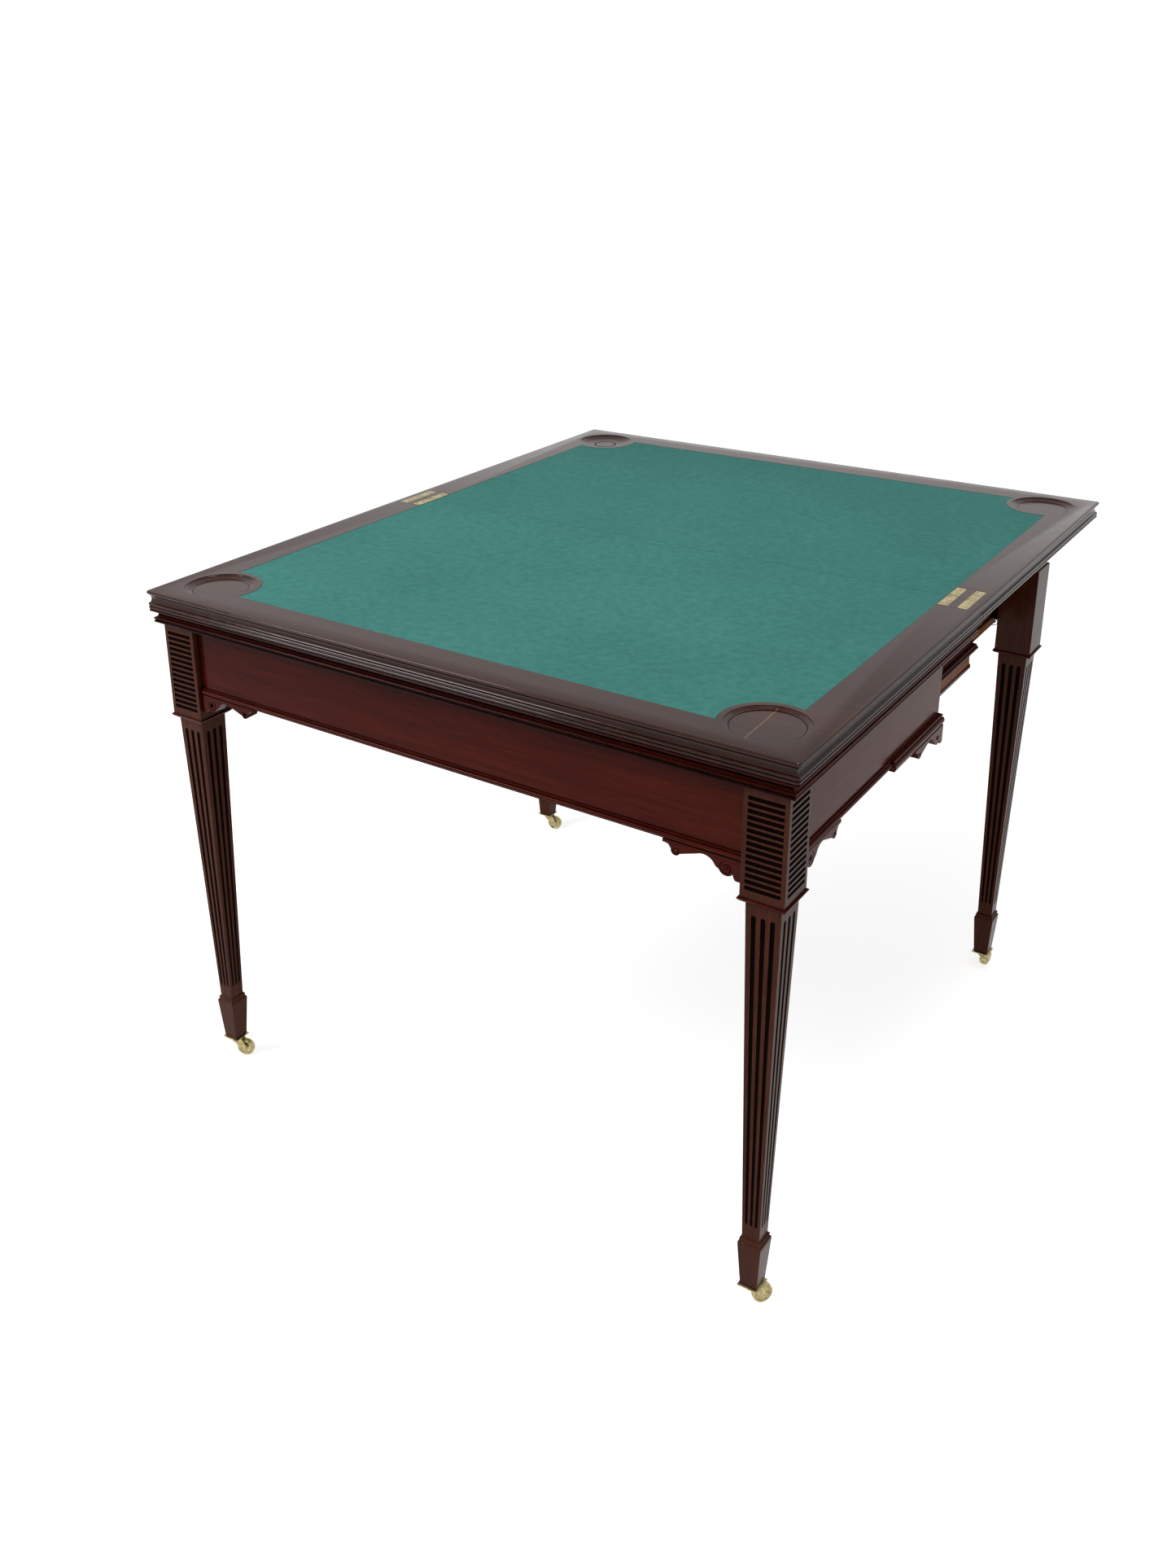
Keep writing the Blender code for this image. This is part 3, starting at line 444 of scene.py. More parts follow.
def add_turning(bm, profile, centre, steps):
    """A (radius, height) profile turned about an upright axis through centre."""
    points = [bm.verts.new((centre[0] + r, centre[1], centre[2] + z)) for r, z in profile]
    edges = [bm.edges.new(pair) for pair in zip(points, points[1:])]
    made = bmesh.ops.spin(
        bm, geom=points + edges, cent=centre, axis=(0, 0, 1),
        angle=2 * math.pi, steps=steps, use_merge=True,
    )
    bmesh.ops.remove_doubles(bm, verts=bm.verts, dist=1e-7)
    return made


leaf_edge = [(0.0030, 0.0)]
leaf_edge += round_bead(0.0030, 0.0022, 0.0021) + [(0.0036, 0.0045)]
leaf_edge += round_bead(0.0030, 0.0068, 0.0021) + [(0.0038, 0.0091), (0.0038, 0.0097)]
leaf_edge += [(0.0046, 0.0106), (0.0053, 0.0125), (0.0055, 0.0146), (0.0050, 0.0168),
    (0.0040, 0.0186)]
leaf_edge += [(0.0028, 0.0198), (0.0026, 0.0205)]
leaf_edge += round_bead(0.0023, 0.0231, 0.0023, steps=8, start=-78, end=88)

dish_profile = [
    (0.0, -0.0070), (0.012, -0.00695), (0.022, -0.0067), (0.030, -0.0061), (0.036, -0.0051),
    (0.0405, -0.0038), (0.0435, -0.0024), (0.0453, -0.0012), (0.0459, -0.0006),
    (0.0469, -0.0005), (0.0474, -0.0003), (0.0478, 0.0004), (0.0478, 0.0020), (0.0, 0.0020),
]
strip_centre, strip_spacing, strip_width, strip_length = 0.44455, 0.0256, 0.0135, 0.0375
strip_depth = 0.007


def cloth_outline(shrink):
    """The cloth's plan, bitten round the two dishes, from the hinge line outwards."""
    half = half_width - border - shrink
    far = -(leaf_depth - border - shrink)
    near = -0.0005 if shrink else slack
    x, y = half_width - dish_inset, dish_inset - leaf_depth
    bite = dish_radius + 0.0072 + shrink
    start = math.degrees(math.acos((half - x) / bite))
    end = 180 + math.degrees(math.asin((y - far) / bite))
    right = arc((x, y), bite, start, end, 32)
    return [(-half, near), (half, near), *right, *[(-a, b) for a, b in reversed(right)]]


half_turn = {"fixed": Matrix.Identity(4), "flap": Matrix.Rotation(math.pi, 4, "Z")}
body_of_leaf = {"fixed": "frame", "flap": "flap"}
for leaf, turn in half_turn.items():
    board = bmesh.new()
    add_worked_slab(board, leaf_edge, half_width, leaf_depth, -slack,
        playing_height - leaf_thickness)
    bmesh.ops.transform(board, matrix=turn, verts=board.verts)
    top = as_object(f"{leaf}_leaf_board", board)

    bed = bmesh.new()
    add_prism(bed, cloth_outline(0.0), "z", playing_height - 0.0017, playing_height + 0.002)
    bmesh.ops.transform(bed, matrix=turn, verts=bed.verts)
    carve(top, bed)

    dishes = bmesh.new()
    for side in (-1, 1):
        add_turning(dishes, dish_profile,
            (side * (half_width - dish_inset), dish_inset - leaf_depth, playing_height), 72)
    bmesh.ops.transform(dishes, matrix=turn, verts=dishes.verts)
    carve(top, dishes)

    beds = bmesh.new()
    for side in (-1, 1):
        for strip in (-strip_spacing / 2, strip_spacing / 2):
            x = side * strip_centre + strip
            wide = strip_width / 2 + slack
            add_block(beds, (x - wide, -strip_length - slack, playing_height - strip_depth - slack),
                (x + wide, 0.002, playing_height + 0.002))
    bmesh.ops.transform(beds, matrix=turn, verts=beds.verts)
    carve(top, beds)

    line = bmesh.new()
    for side in (-1, 1):
        low, high = strip_centre - 0.0222, strip_centre + 0.0200
        steps = [low + (high - low) * i / 12 for i in range(13)]
        bow = [(x, -0.0385 - 0.0018 * math.sin(math.pi * (x - low) / (high - low))) for x in steps]
        outline = bow + [(x, y - 0.00045) for x, y in reversed(bow)]
        add_prism(line, [(side * x, y) for x, y in outline], "z", playing_height - 0.0008,
            playing_height + 0.001)
    bmesh.ops.transform(line, matrix=turn, verts=line.verts)
    carve(top, line)
    wood = joined_top(f"mahogany_{leaf}_top", crack=leaf == "fixed")
    fit(top, body_of_leaf[leaf], wood, "mahogany", f"{leaf}_leaf", arris=0.00035)

# --- baize --------------------------------------------------------------------
# One piece of green wool baize for each leaf, cut to the bed, bitten round the counter
# dishes and glued down flat, its surface just under the wood.
felt = bpy.data.materials.new("green_baize")
felt.use_nodes = True
nodes, links = felt.node_tree.nodes, felt.node_tree.links
surface = nodes["Principled BSDF"]
surface.inputs["IOR"].default_value = 1.12
surface.inputs["Roughness"].default_value = 0.95
surface.inputs["Sheen Weight"].default_value = 0.03
surface.inputs["Sheen Roughness"].default_value = 0.6
surface.inputs["Sheen Tint"].default_value = (0.55, 0.85, 0.80, 1.0)
place = nodes.new("ShaderNodeTexCoord")
fibre = nodes.new("ShaderNodeTexNoise")
fibre.inputs["Scale"].default_value = 780.0
fibre.inputs["Detail"].default_value = 5.0
fibre.inputs["Roughness"].default_value = 0.7
fibre.inputs["Distortion"].default_value = 1.2
links.new(place.outputs["Object"], fibre.inputs["Vector"])
nap = nodes.new("ShaderNodeTexNoise")
nap.inputs["Scale"].default_value = 95.0
nap.inputs["Detail"].default_value = 4.0
links.new(place.outputs["Object"], nap.inputs["Vector"])
fade = nodes.new("ShaderNodeTexNoise")
fade.inputs["Scale"].default_value = 4.5
fade.inputs["Detail"].default_value = 3.0
links.new(place.outputs["Object"], fade.inputs["Vector"])
blend = nodes.new("ShaderNodeMix")
blend.inputs["Factor"].default_value = 0.35
links.new(fibre.outputs["Fac"], blend.inputs["A"])
links.new(nap.outputs["Fac"], blend.inputs["B"])
dye = nodes.new("ShaderNodeValToRGB")
dye.color_ramp.elements[0].position, dye.color_ramp.elements[1].position = 0.30, 0.70
dye.color_ramp.elements[0].color = (0.022, 0.104, 0.092, 1.0)
dye.color_ramp.elements[1].color = (0.050, 0.184, 0.160, 1.0)
links.new(blend.outputs["Result"], dye.inputs["Fac"])
sun = nodes.new("ShaderNodeMapRange")
sun.inputs["From Min"].default_value = 0.30
sun.inputs["From Max"].default_value = 0.70
sun.inputs["To Min"].default_value = 0.93
sun.inputs["To Max"].default_value = 1.06
links.new(fade.outputs["Fac"], sun.inputs["Value"])
aged = nodes.new("ShaderNodeVectorMath")
aged.operation = "SCALE"
links.new(dye.outputs["Color"], aged.inputs[0])
links.new(sun.outputs[0], aged.inputs["Scale"])
links.new(aged.outputs[0], surface.inputs["Base Color"])
pile = nodes.new("ShaderNodeBump")
pile.inputs["Strength"].default_value = 0.5
pile.inputs["Distance"].default_value = 0.0005
links.new(blend.outputs["Result"], pile.inputs["Height"])
links.new(pile.outputs[0], surface.inputs["Normal"])

for leaf, turn in half_turn.items():
    cloth = bmesh.new()
    face = add_prism(cloth, cloth_outline(slack), "z", playing_height - 0.0014,
        playing_height - 0.0002)
    cut_area = face.calc_area()
    bmesh.ops.transform(cloth, matrix=turn, verts=cloth.verts)
    sheet = fit(as_object(f"{leaf}_playing_cloth", cloth), body_of_leaf[leaf], felt, "baize",
        f"{leaf}_baize", arris=0.0003)

# --- hinges -------------------------------------------------------------------
# Flush brass hinges, two strips to a half, let in at the sides and fixed with slotted
# countersunk screws. A round-ended link across each joint turns on a pin in both halves.
brass = bpy.data.materials.new("old_brass")
brass.use_nodes = True
nodes, links = brass.node_tree.nodes, brass.node_tree.links
surface = nodes["Principled BSDF"]
surface.inputs["Metallic"].default_value = 1.0
place = nodes.new("ShaderNodeTexCoord")
brushed = nodes.new("ShaderNodeMapping")
brushed.inputs["Scale"].default_value = (1.0, 0.05, 1.0)
links.new(place.outputs["Object"], brushed.inputs["Vector"])
scratch = nodes.new("ShaderNodeTexNoise")
scratch.inputs["Scale"].default_value = 1400.0
scratch.inputs["Detail"].default_value = 3.0
links.new(brushed.outputs[0], scratch.inputs["Vector"])
tarnish = nodes.new("ShaderNodeTexNoise")
tarnish.inputs["Scale"].default_value = 210.0
tarnish.inputs["Detail"].default_value = 5.0
tarnish.inputs["Roughness"].default_value = 0.65
links.new(place.outputs["Object"], tarnish.inputs["Vector"])
tint = nodes.new("ShaderNodeValToRGB")
tint.color_ramp.elements[0].position, tint.color_ramp.elements[1].position = 0.34, 0.62
tint.color_ramp.elements[0].color = (0.23, 0.17, 0.07, 1.0)
tint.color_ramp.elements[1].color = (0.52, 0.45, 0.23, 1.0)
links.new(tarnish.outputs["Fac"], tint.inputs["Fac"])
links.new(tint.outputs["Color"], surface.inputs["Base Color"])
dull = nodes.new("ShaderNodeMapRange")
dull.inputs["To Min"].default_value = 0.46
dull.inputs["To Max"].default_value = 0.26
links.new(tarnish.outputs["Fac"], dull.inputs["Value"])
links.new(dull.outputs[0], surface.inputs["Roughness"])
drawn = nodes.new("ShaderNodeBump")
drawn.inputs["Strength"].default_value = 0.12
drawn.inputs["Distance"].default_value = 0.0002
links.new(scratch.outputs["Fac"], drawn.inputs["Height"])
links.new(drawn.outputs[0], surface.inputs["Normal"])

pin_offset, pin_depth = 0.00225, 0.002
tongue_half = 0.0045
screw_places = (-0.0148, -0.0292)
for leaf, turn in half_turn.items():
    facing = 1 if leaf == "fixed" else -1
    for side, sign in {"left": -1, "right": 1}.items():
        strips, sinks, screws, slots = (bmesh.new() for _ in range(4))
        for strip in (-strip_spacing / 2, strip_spacing / 2):
            x = facing * sign * strip_centre + strip
            add_block(strips, (x - strip_width / 2, -strip_length, playing_height - strip_depth),
                (x + strip_width / 2, -slack, playing_height))
            wide = tongue_half + slack
            reach = 0.0047 if leaf == "fixed" else 0.0066
            add_block(sinks, (x - wide, -reach, playing_height - reach + 0.0003),
                (x + wide, 0.001, playing_height + 0.001))
            for turned, y in enumerate(screw_places):
                place = Matrix.Translation((x, y, playing_height - 0.0006))
                bmesh.ops.create_cone(sinks, cap_ends=True, segments=24, radius1=0.0017,
                    radius2=0.0034, depth=0.0018, matrix=place)
                low = Matrix.Translation((x, y, playing_height - 0.00105))
                bmesh.ops.create_cone(screws, cap_ends=True, segments=24, radius1=0.0015,
                    radius2=0.0027, depth=0.0016, matrix=low)
                angle = Matrix.Rotation(math.radians(25 + 70 * turned + 40 * strip / strip_spacing),
                    4, "Z")
                slot = Matrix.Translation((x, y,
                    playing_height - 0.0003)) @ angle @ Matrix.Diagonal((0.0007, 0.008, 0.0012, 1.0))
                bmesh.ops.create_cube(slots, size=1.0, matrix=slot)
            pin = Matrix.Translation((x, -pin_offset,
                playing_height - pin_depth)) @ Matrix.Rotation(math.pi / 2, 4, "Y")
            bmesh.ops.create_cone(screws, cap_ends=True, segments=16, radius1=0.0008,
                radius2=0.0008, depth=strip_width - 0.001, matrix=pin)
        for part in (strips, sinks, screws, slots):
            bmesh.ops.transform(part, matrix=turn, verts=part.verts)
        plate = as_object(f"{leaf}_hinge_strips_{side}", strips)
        carve(plate, sinks)
        fit(plate, body_of_leaf[leaf], brass, "brass", f"{leaf}_hinge_plates_{side}", arris=0.0002)
        screw = as_object(f"{leaf}_hinge_screws_{side}", screws)
        carve(screw, slots)
        fit(screw, body_of_leaf[leaf], brass, "brass", arris=0.0)

link_slot = 2 * pin_offset * (math.sqrt(2.0) - 1)
link_edge = arc((pin_offset + link_slot, playing_height - pin_depth), 0.0019, -90, 90, 10)
link_edge += arc((-pin_offset, playing_height - pin_depth), 0.0019, 90, 270, 10)
for side, sign in {"left": -1, "right": 1}.items():
    for place, strip in {"first": -strip_spacing / 2, "second": strip_spacing / 2}.items():
        x = sign * strip_centre + strip
        tongue = bmesh.new()
        add_prism(tongue, link_edge, "x", x - tongue_half, x + tongue_half)
        fit(as_object(f"hinge_tongue_{side}_{place}", tongue), "hinge_links", brass, "brass",
            f"hinge_link_{side}_{place}", arris=0.0004)

# --- cornice ------------------------------------------------------------------
# A mahogany moulding under the fixed leaf, glued round the frame in three lengths that
# are mitred at the front corners: an arris bead, a deep cove and two beads.
cornice_base, frame_top = 0.7045, 0.7243
head_face, head_front = 0.4605, -0.5405
head_inner, head_back = 0.4075, -0.4875
apron_face_x, apron_face_y = 0.452, -0.532
cornice_edge = [(0.0072, 0.0)]
cornice_edge += round_bead(0.0068, 0.0020, 0.0019) + [(0.0074, 0.0041)]
cornice_edge += round_bead(0.0067, 0.0061, 0.0018) + [(0.0074, 0.0081), (0.0078, 0.0085)]
cornice_edge += [(0.0090, 0.0096), (0.0096, 0.0112), (0.0094, 0.0130), (0.0083, 0.0146),
    (0.0066, 0.0157), (0.0046, 0.0163)]
cornice_edge += [(0.0034, 0.0165), (0.0034, 0.0169)]
cornice_edge += round_bead(0.0019, 0.0183, 0.0014, steps=6, start=-78, end=85)
seat = [
    (-apron_face_x - slack, 0.01), (-apron_face_x - slack, head_back + slack),
    (-head_face - slack, head_back + slack), (-head_face - slack, head_front - slack),
    (-head_inner + slack, head_front - slack), (-head_inner + slack, apron_face_y - slack),
]
seat += [(-x, y) for x, y in reversed(seat)]
ring = bmesh.new()
add_worked_slab(ring, cornice_edge, half_width - 0.0005, leaf_depth - 0.0005, -slack, cornice_base)
whole = as_object("cornice_blank", ring)
core = bmesh.new()
add_prism(core, seat, "z", cornice_base - 0.01, frame_top + 0.01)
carve(whole, core)
mitre = Vector((1.0, 1.0, 0.0)).normalized()
corner = Vector((half_width, -leaf_depth, 0.0))
mirrored = lambda v: Vector((-v.x, v.y, v.z))
for length, planes in {
    "front": [(corner - mitre * slack / 2, mitre),
        (mirrored(corner - mitre * slack / 2), mirrored(mitre))],
    "right": [(corner + mitre * slack / 2, -mitre)],
    "left": [(mirrored(corner + mitre * slack / 2), -mirrored(mitre))],
}.items():
    cut = bmesh.new()
    cut.from_mesh(whole.data)
    for point, normal in planes:
        bmesh.ops.bisect_plane(cut, geom=[*cut.verts, *cut.edges, *cut.faces], plane_co=point,
            plane_no=normal, clear_outer=True)
        bmesh.ops.holes_fill(cut, edges=[edge for edge in cut.edges if edge.is_boundary])
    if length != "front":
        side = 1 if length == "right" else -1
        loose = [v for v in cut.verts if v.co.x * side < 0]
        bmesh.ops.delete(cut, geom=loose, context="VERTS")
    wood = mahogany_x if length == "front" else mahogany_y
    fit(as_object(f"{length}_cornice_moulding", cut), "frame", wood, "mahogany",
        f"{length}_cornice", arris=0.0)
bpy.data.objects.remove(whole)

# --- aprons -------------------------------------------------------------------
# Veneered boards between the legs, each with one string line cut round it, notched in
# at its corners. The rear one hangs from the second slides and is plain.
apron_base = 0.6183
dock_end = -0.075


def add_string_line(bm, low, high, notch, turn, width=0.0020, depth=0.0011):
    """A cutter for a string line round a panel on a face at y = 0, then turned."""
    (left, foot), (right, head) = low, high
    outline = arc((left, foot), notch, 90, 0, 8) + arc((right, foot), notch, 180, 90, 8)
    outline += arc((right, head), notch, 270, 180, 8) + arc((left, head), notch, 360, 270, 8)
    face = bm.faces.new([bm.verts.new((x, -0.001, z)) for x, z in outline])
    rim = bmesh.ops.inset_individual(bm, faces=[face], thickness=width,
        use_even_offset=True)["faces"]
    bmesh.ops.delete(bm, geom=[face], context="FACES_ONLY")
    grown = bmesh.ops.extrude_face_region(bm, geom=rim, use_keep_orig=True)
    far = [g for g in grown["geom"] if isinstance(g, bmesh.types.BMVert)]
    bmesh.ops.translate(bm, verts=far, vec=(0, 0.001 + depth, 0))
    bmesh.ops.transform(bm, matrix=turn, verts=bm.verts)


# The pale floor of the cut string line is a painted highlight.
string_highlight = polished_wood("string_line", (0.20, 0.080, 0.036), (0.40, 0.190, 0.095),
    (0.55, 0.300, 0.160), grain="x", gloss=0.3, wear=0.0)


def paint_string_highlight(apron, face_at, axis):
    """Paint the floor of the cut line pale, a painted highlight for the light along the string line."""
    for face in apron.data.polygons:
        depth_in = face_at - abs(face.center[axis])
        if 0.0002 < depth_in < 0.0018 and abs(face.normal[axis]) > 0.5:
            face.material_index = 1


board, line = bmesh.new(), bmesh.new()
add_block(board, (-head_inner + slack, apron_face_y, apron_base),
    (head_inner - slack, apron_face_y + 0.020, frame_top))
add_string_line(line, (-0.390, 0.634), (0.390, 0.694), 0.012,
    Matrix.Translation((0, apron_face_y, 0)))
apron = as_object("front_apron_board", board)
carve(apron, line)
fit(apron, "frame", [mahogany_x, string_highlight], "mahogany", "front_apron")
paint_string_highlight(apron, abs(apron_face_y), 1)
for side, sign in {"left": -1, "right": 1}.items():
    board, line = bmesh.new(), bmesh.new()
    add_block(board, (apron_face_x - 0.020, head_back + slack, apron_base),
        (apron_face_x, dock_end, frame_top))
    quarter = Matrix.Translation((apron_face_x, 0, 0)) @ Matrix.Rotation(math.pi / 2, 4, "Z")
    add_string_line(line, (head_back + 0.014, 0.634), (dock_end - 0.014, 0.694), 0.012, quarter)
    for part in (board, line):
        bmesh.ops.scale(part, vec=(sign, 1, 1), verts=part.verts)
    apron = as_object(f"{side}_apron_board", board)
    carve(apron, line)
    fit(apron, "frame", [mahogany_y, string_highlight], "mahogany", f"{side}_apron")
    paint_string_highlight(apron, apron_face_x, 0)
low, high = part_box("rear_apron")
board = bmesh.new()
add_block(board, low, high)
fit(as_object("rear_apron_board", board), "rear_frame", mahogany_x, "mahogany", "rear_apron",
    arris=0.0006)

# --- beads --------------------------------------------------------------------
# A run of moulding glued under each apron: a fine bead above a bold round. At the side
# its last length is deeper, and is worked in one with the bracket that follows it.
bead_section = [(-0.020, 0.0), (0.0014, 0.0), (0.0021, -0.0003), (0.0024, -0.0010),
    (0.0021, -0.0017), (0.0012, -0.0021), (0.0012, -0.0024)]
bead_section += arc((0.0022, -0.0052), 0.0028, 80, -78, 8)
bead_section += [(0.0022, -0.0084), (0.0030, -0.0086), (0.0030, -0.0090), (-0.020, -0.0090)]
bead_top = apron_base - slack


def add_run(bm, section, face, top, start, end, turn):
    """A length of moulding along x on a face at y = -face, then turned; start and end
    are its two ends."""
    outline = bm.faces.new([bm.verts.new((start, -face - out, top + rise)) for out,
        rise in section])
    grown = bmesh.ops.extrude_face_region(bm, geom=[outline], use_keep_orig=True)
    far = [g for g in grown["geom"] if isinstance(g, bmesh.types.BMVert)]
    bmesh.ops.translate(bm, verts=far, vec=(end - start, 0, 0))
    made = set(far) | set(outline.verts)
    bmesh.ops.transform(bm, matrix=turn, verts=list(made))


run = bmesh.new()
add_run(run, bead_section, -apron_face_y, bead_top, -head_inner + slack, head_inner - slack,
    Matrix.Identity(4))
fit(as_object("front_bead_run", run), "frame", mahogany_x, "mahogany", "front_bead", arris=0.0)
quarter = Matrix.Rotation(math.pi / 2, 4, "Z")
dock_joint = dock_end - 0.165
for side, sign in {"left": -1, "right": 1}.items():
    run = bmesh.new()
    add_run(run, bead_section, apron_face_x, bead_top, head_back + slack, dock_joint - slack,
        quarter)
    bmesh.ops.scale(run, vec=(sign, 1, 1), verts=run.verts)
    fit(as_object(f"{side}_bead_run", run), "frame", mahogany_y, "mahogany", f"{side}_bead",
        arris=0.0)
rear_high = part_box("rear_apron")[1]
run = bmesh.new()
add_run(run, bead_section, -rear_high.y, bead_top, -head_inner + slack, head_inner - slack,
    Matrix.Identity(4))
bmesh.ops.transform(run,
    matrix=Matrix.Translation((0, rear_high.y, 0)) @ Matrix.Diagonal((1, -1, 1, 1)) @ Matrix.Translation((0, -rear_high.y, 0)), verts=run.verts)
fit(as_object("rear_bead_run", run), "rear_frame", mahogany_x, "mahogany", "rear_bead", arris=0.0)

# --- brackets -----------------------------------------------------------------
# Fretted scroll brackets in the corners under the beads, sawn from thick stock, with a
# carved eye at each scroll. They are glued and pinned to the leg and the bead.
bracket_length, bracket_thickness = 0.097, 0.018


def scroll_outline(top):
    """A bracket's edge as (distance from the leg, height) points."""
    big, small = 0.0096, 0.0058
    big_centre, small_centre = (0.0185, top - 0.0122), (0.0806, top - 0.0106)
    edge = [(0.0, top), (0.0, top - 0.0247), (0.0072, top - 0.0247), (0.0092, top - 0.0225)]
    edge += arc(big_centre, big, 218, 335, 12)
    edge += arc((0.0465, top - 0.0200), 0.0160, 155, 66, 14)
    edge += arc(small_centre, small, 205, 372, 14)
    edge += [(0.0885, top - 0.0064), (0.0900, top - 0.0046), (0.0930, top - 0.0040)]
    return edge + [(bracket_length, top - 0.0038), (bracket_length, top)], big_centre, small_centre


scroll_eye = [(1.0, 0.0), (0.98, 0.55), (0.90, 0.85), (0.80, 0.80), (0.72, 0.10), (0.60, 0.05),
    (0.52, 0.60), (0.40, 0.95), (0.20, 1.0), (0.0, 1.0)]


def add_bracket(bm, top, turn):
    """One bracket, its face at y = 0 and its leg end at x = 0, then turned."""
    edge, big, small = scroll_outline(top)
    before = set(bm.verts)
    add_prism(bm, edge, "y", 0.0, bracket_thickness)
    for centre, radius in ((big, 0.0030), (small, 0.0022)):
        eye = bmesh.new()
        profile = [(radius * r, 0.0009 * z) for r, z in scroll_eye]
        add_turning(eye, [(0.0, -0.001), (radius, -0.001), *profile], (0, 0, 0), 28)
        place = Matrix.Translation((centre[0], 0.0, centre[1])) @ Matrix.Rotation(math.pi / 2, 4,
            "X")
        bmesh.ops.transform(eye, matrix=place, verts=eye.verts)
        spare = bpy.data.meshes.new("eye")
        eye.to_mesh(spare)
        eye.free()
        bm.from_mesh(spare)
        bpy.data.meshes.remove(spare)
    bmesh.ops.transform(bm, matrix=turn, verts=[v for v in bm.verts if v not in before])


def add_spiral(bm, centre, outer, inner, first, turns, turn, width=0.0011, depth=0.0010):
    """A gouge cut that winds in to a scroll's eye, on a face at y = 0, then turned."""
    steps = 40
    made = set()
    ring = None
    for step in range(steps + 1):
        share = step / steps
        angle = math.radians(first + 360 * turns * share)
        radius = outer + (inner - outer) * share
        out = Vector((math.cos(angle), 0.0, math.sin(angle)))
        middle = Vector((centre[0], 0.0, centre[1])) + out * radius
        half = out * width * (1.0 - 0.35 * share) / 2
        corners = [middle - half + Vector((0, depth, 0)), middle + half + Vector((0, depth, 0)),
            middle + half * 1.5 - Vector((0, 0.001, 0)), middle - half * 1.5 - Vector((0, 0.001, 0))]
        if ring is None:
            ring = bm.faces.new([bm.verts.new(c) for c in corners])
            made |= set(ring.verts)
        else:
            grown = bmesh.ops.extrude_face_region(bm, geom=[ring], use_keep_orig=step == 1)
            ring = next(g for g in grown["geom"] if isinstance(g, bmesh.types.BMFace))
            for v, c in zip(ring.verts, corners):
                v.co = c
            made |= set(ring.verts)
    bmesh.ops.transform(bm, matrix=turn, verts=list(made))


proud = 0.005
bracket_top = bead_top - 0.009 - slack
mirror = Matrix.Diagonal((-1, 1, 1, 1))
three_quarter = Matrix.Rotation(math.pi / 2, 4, "Z")
for side, sign in {"left": -1, "right": 1}.items():
    across = Matrix.Identity(4) if sign > 0 else mirror
    front = across @ Matrix.Translation((head_inner - slack, apron_face_y - proud + 0.001,
        0)) @ mirror
    flank = across @ Matrix.Translation((apron_face_x + proud - 0.001, head_back + slack,
        0)) @ three_quarter
    back = across @ Matrix.Translation((head_inner - slack, rear_high.y + proud - 0.001,
        0)) @ Matrix.Rotation(math.pi, 4, "Z")
    for name, turn, body, wood in (
        (f"front_bracket_{side}", front, "frame", mahogany_x),
        (f"side_bracket_{side}", flank, "frame", mahogany_y),
        (f"rear_bracket_{side}", back, "rear_frame", mahogany_x),
    ):
        fret, spirals = bmesh.new(), bmesh.new()
        add_bracket(fret, bracket_top, turn)
        _, big, small = scroll_outline(bracket_top)
        add_spiral(spirals, big, 0.0078, 0.0038, 60, -1.1, turn)
        add_spiral(spirals, small, 0.0045, 0.0028, 120, 0.9, turn)
        scroll = as_object(f"{name}_scroll", fret)
        carve(scroll, spirals)
        fit(scroll, body, wood, "mahogany", name, arris=0.0005)

    deep = bmesh.new()
    deeper = [(out + 0.0040 if out > 0 else out, rise * 14 / 9) for out, rise in bead_section]
    add_run(deep, deeper, apron_face_x, bead_top, dock_joint, dock_end, three_quarter)
    place = Matrix.Translation((apron_face_x + 2 * proud - 0.002, dock_end,
        0)) @ three_quarter @ mirror
    add_bracket(deep, bead_top - 0.014, place)
    bmesh.ops.transform(deep, matrix=across, verts=deep.verts)
    fit(as_object(f"dock_bracket_{side}_scroll", deep), "frame", mahogany_y, "mahogany",
        f"dock_bracket_{side}", arris=0.0004)

# --- legs ---------------------------------------------------------------------
# Square tapered legs, each in one piece: a head, a shaft with three stopped flutes on
# every face, and a spade foot. The front heads are reeded across on both outer faces.
LEG_WOOD = ((0.030, 0.0070, 0.0035), (0.054, 0.0140, 0.0070), (0.090, 0.0260, 0.0125))
leg_wood = polished_wood("leg_mahogany", *LEG_WOOD, grain="z", gloss=0.16, wear=0.30, shine=1.14)
head_wood = polished_wood("leg_head_mahogany", *LEG_WOOD, grain="z", gloss=0.14, wear=0.30,
    shine=1.14)
end_grain = polished_wood("end_grain", (0.14, 0.080, 0.032), (0.24, 0.150, 0.065),
    (0.34, 0.230, 0.110), grain="x", gloss=0.5, wear=0.1)
# A near-black wood for the faces sunk in the flutes and reeds: painted shade in the grooves.
painted_shade_wood = polished_wood("painted_shade_hollow", (0.0030, 0.0012, 0.0008), (0.0060, 0.0022, 0.0014),
    (0.012, 0.0045, 0.0026), grain="z", gloss=0.4, wear=0.0, shine=1.05)
head_side, shaft_top, shaft_foot = 0.053, 0.043, 0.0225
head_base, shoulder = 0.571, 0.107


def add_stack(bm, centre, sections):
    """A square column grown ring by ring from its (height, side) sections."""
    height, side = sections[0]
    place = Matrix.Translation((*centre, height))
    ring = bmesh.ops.create_grid(bm, x_segments=1, y_segments=1, size=side / 2, matrix=place)
    top, keep = ring["verts"][0].link_faces[0], True
    for taller, wider in sections[1:]:
        grown = bmesh.ops.extrude_face_region(bm, geom=[top], use_keep_orig=keep)
        keep = False
        top = next(g for g in grown["geom"] if isinstance(g, bmesh.types.BMFace))
        about = Matrix.Translation((-centre[0], -centre[1], 0))
        bmesh.ops.scale(bm, vec=(wider / side, wider / side, 1), space=about, verts=top.verts)
        bmesh.ops.translate(bm, vec=(0, 0, taller - height), verts=top.verts)
        height, side = taller, wider


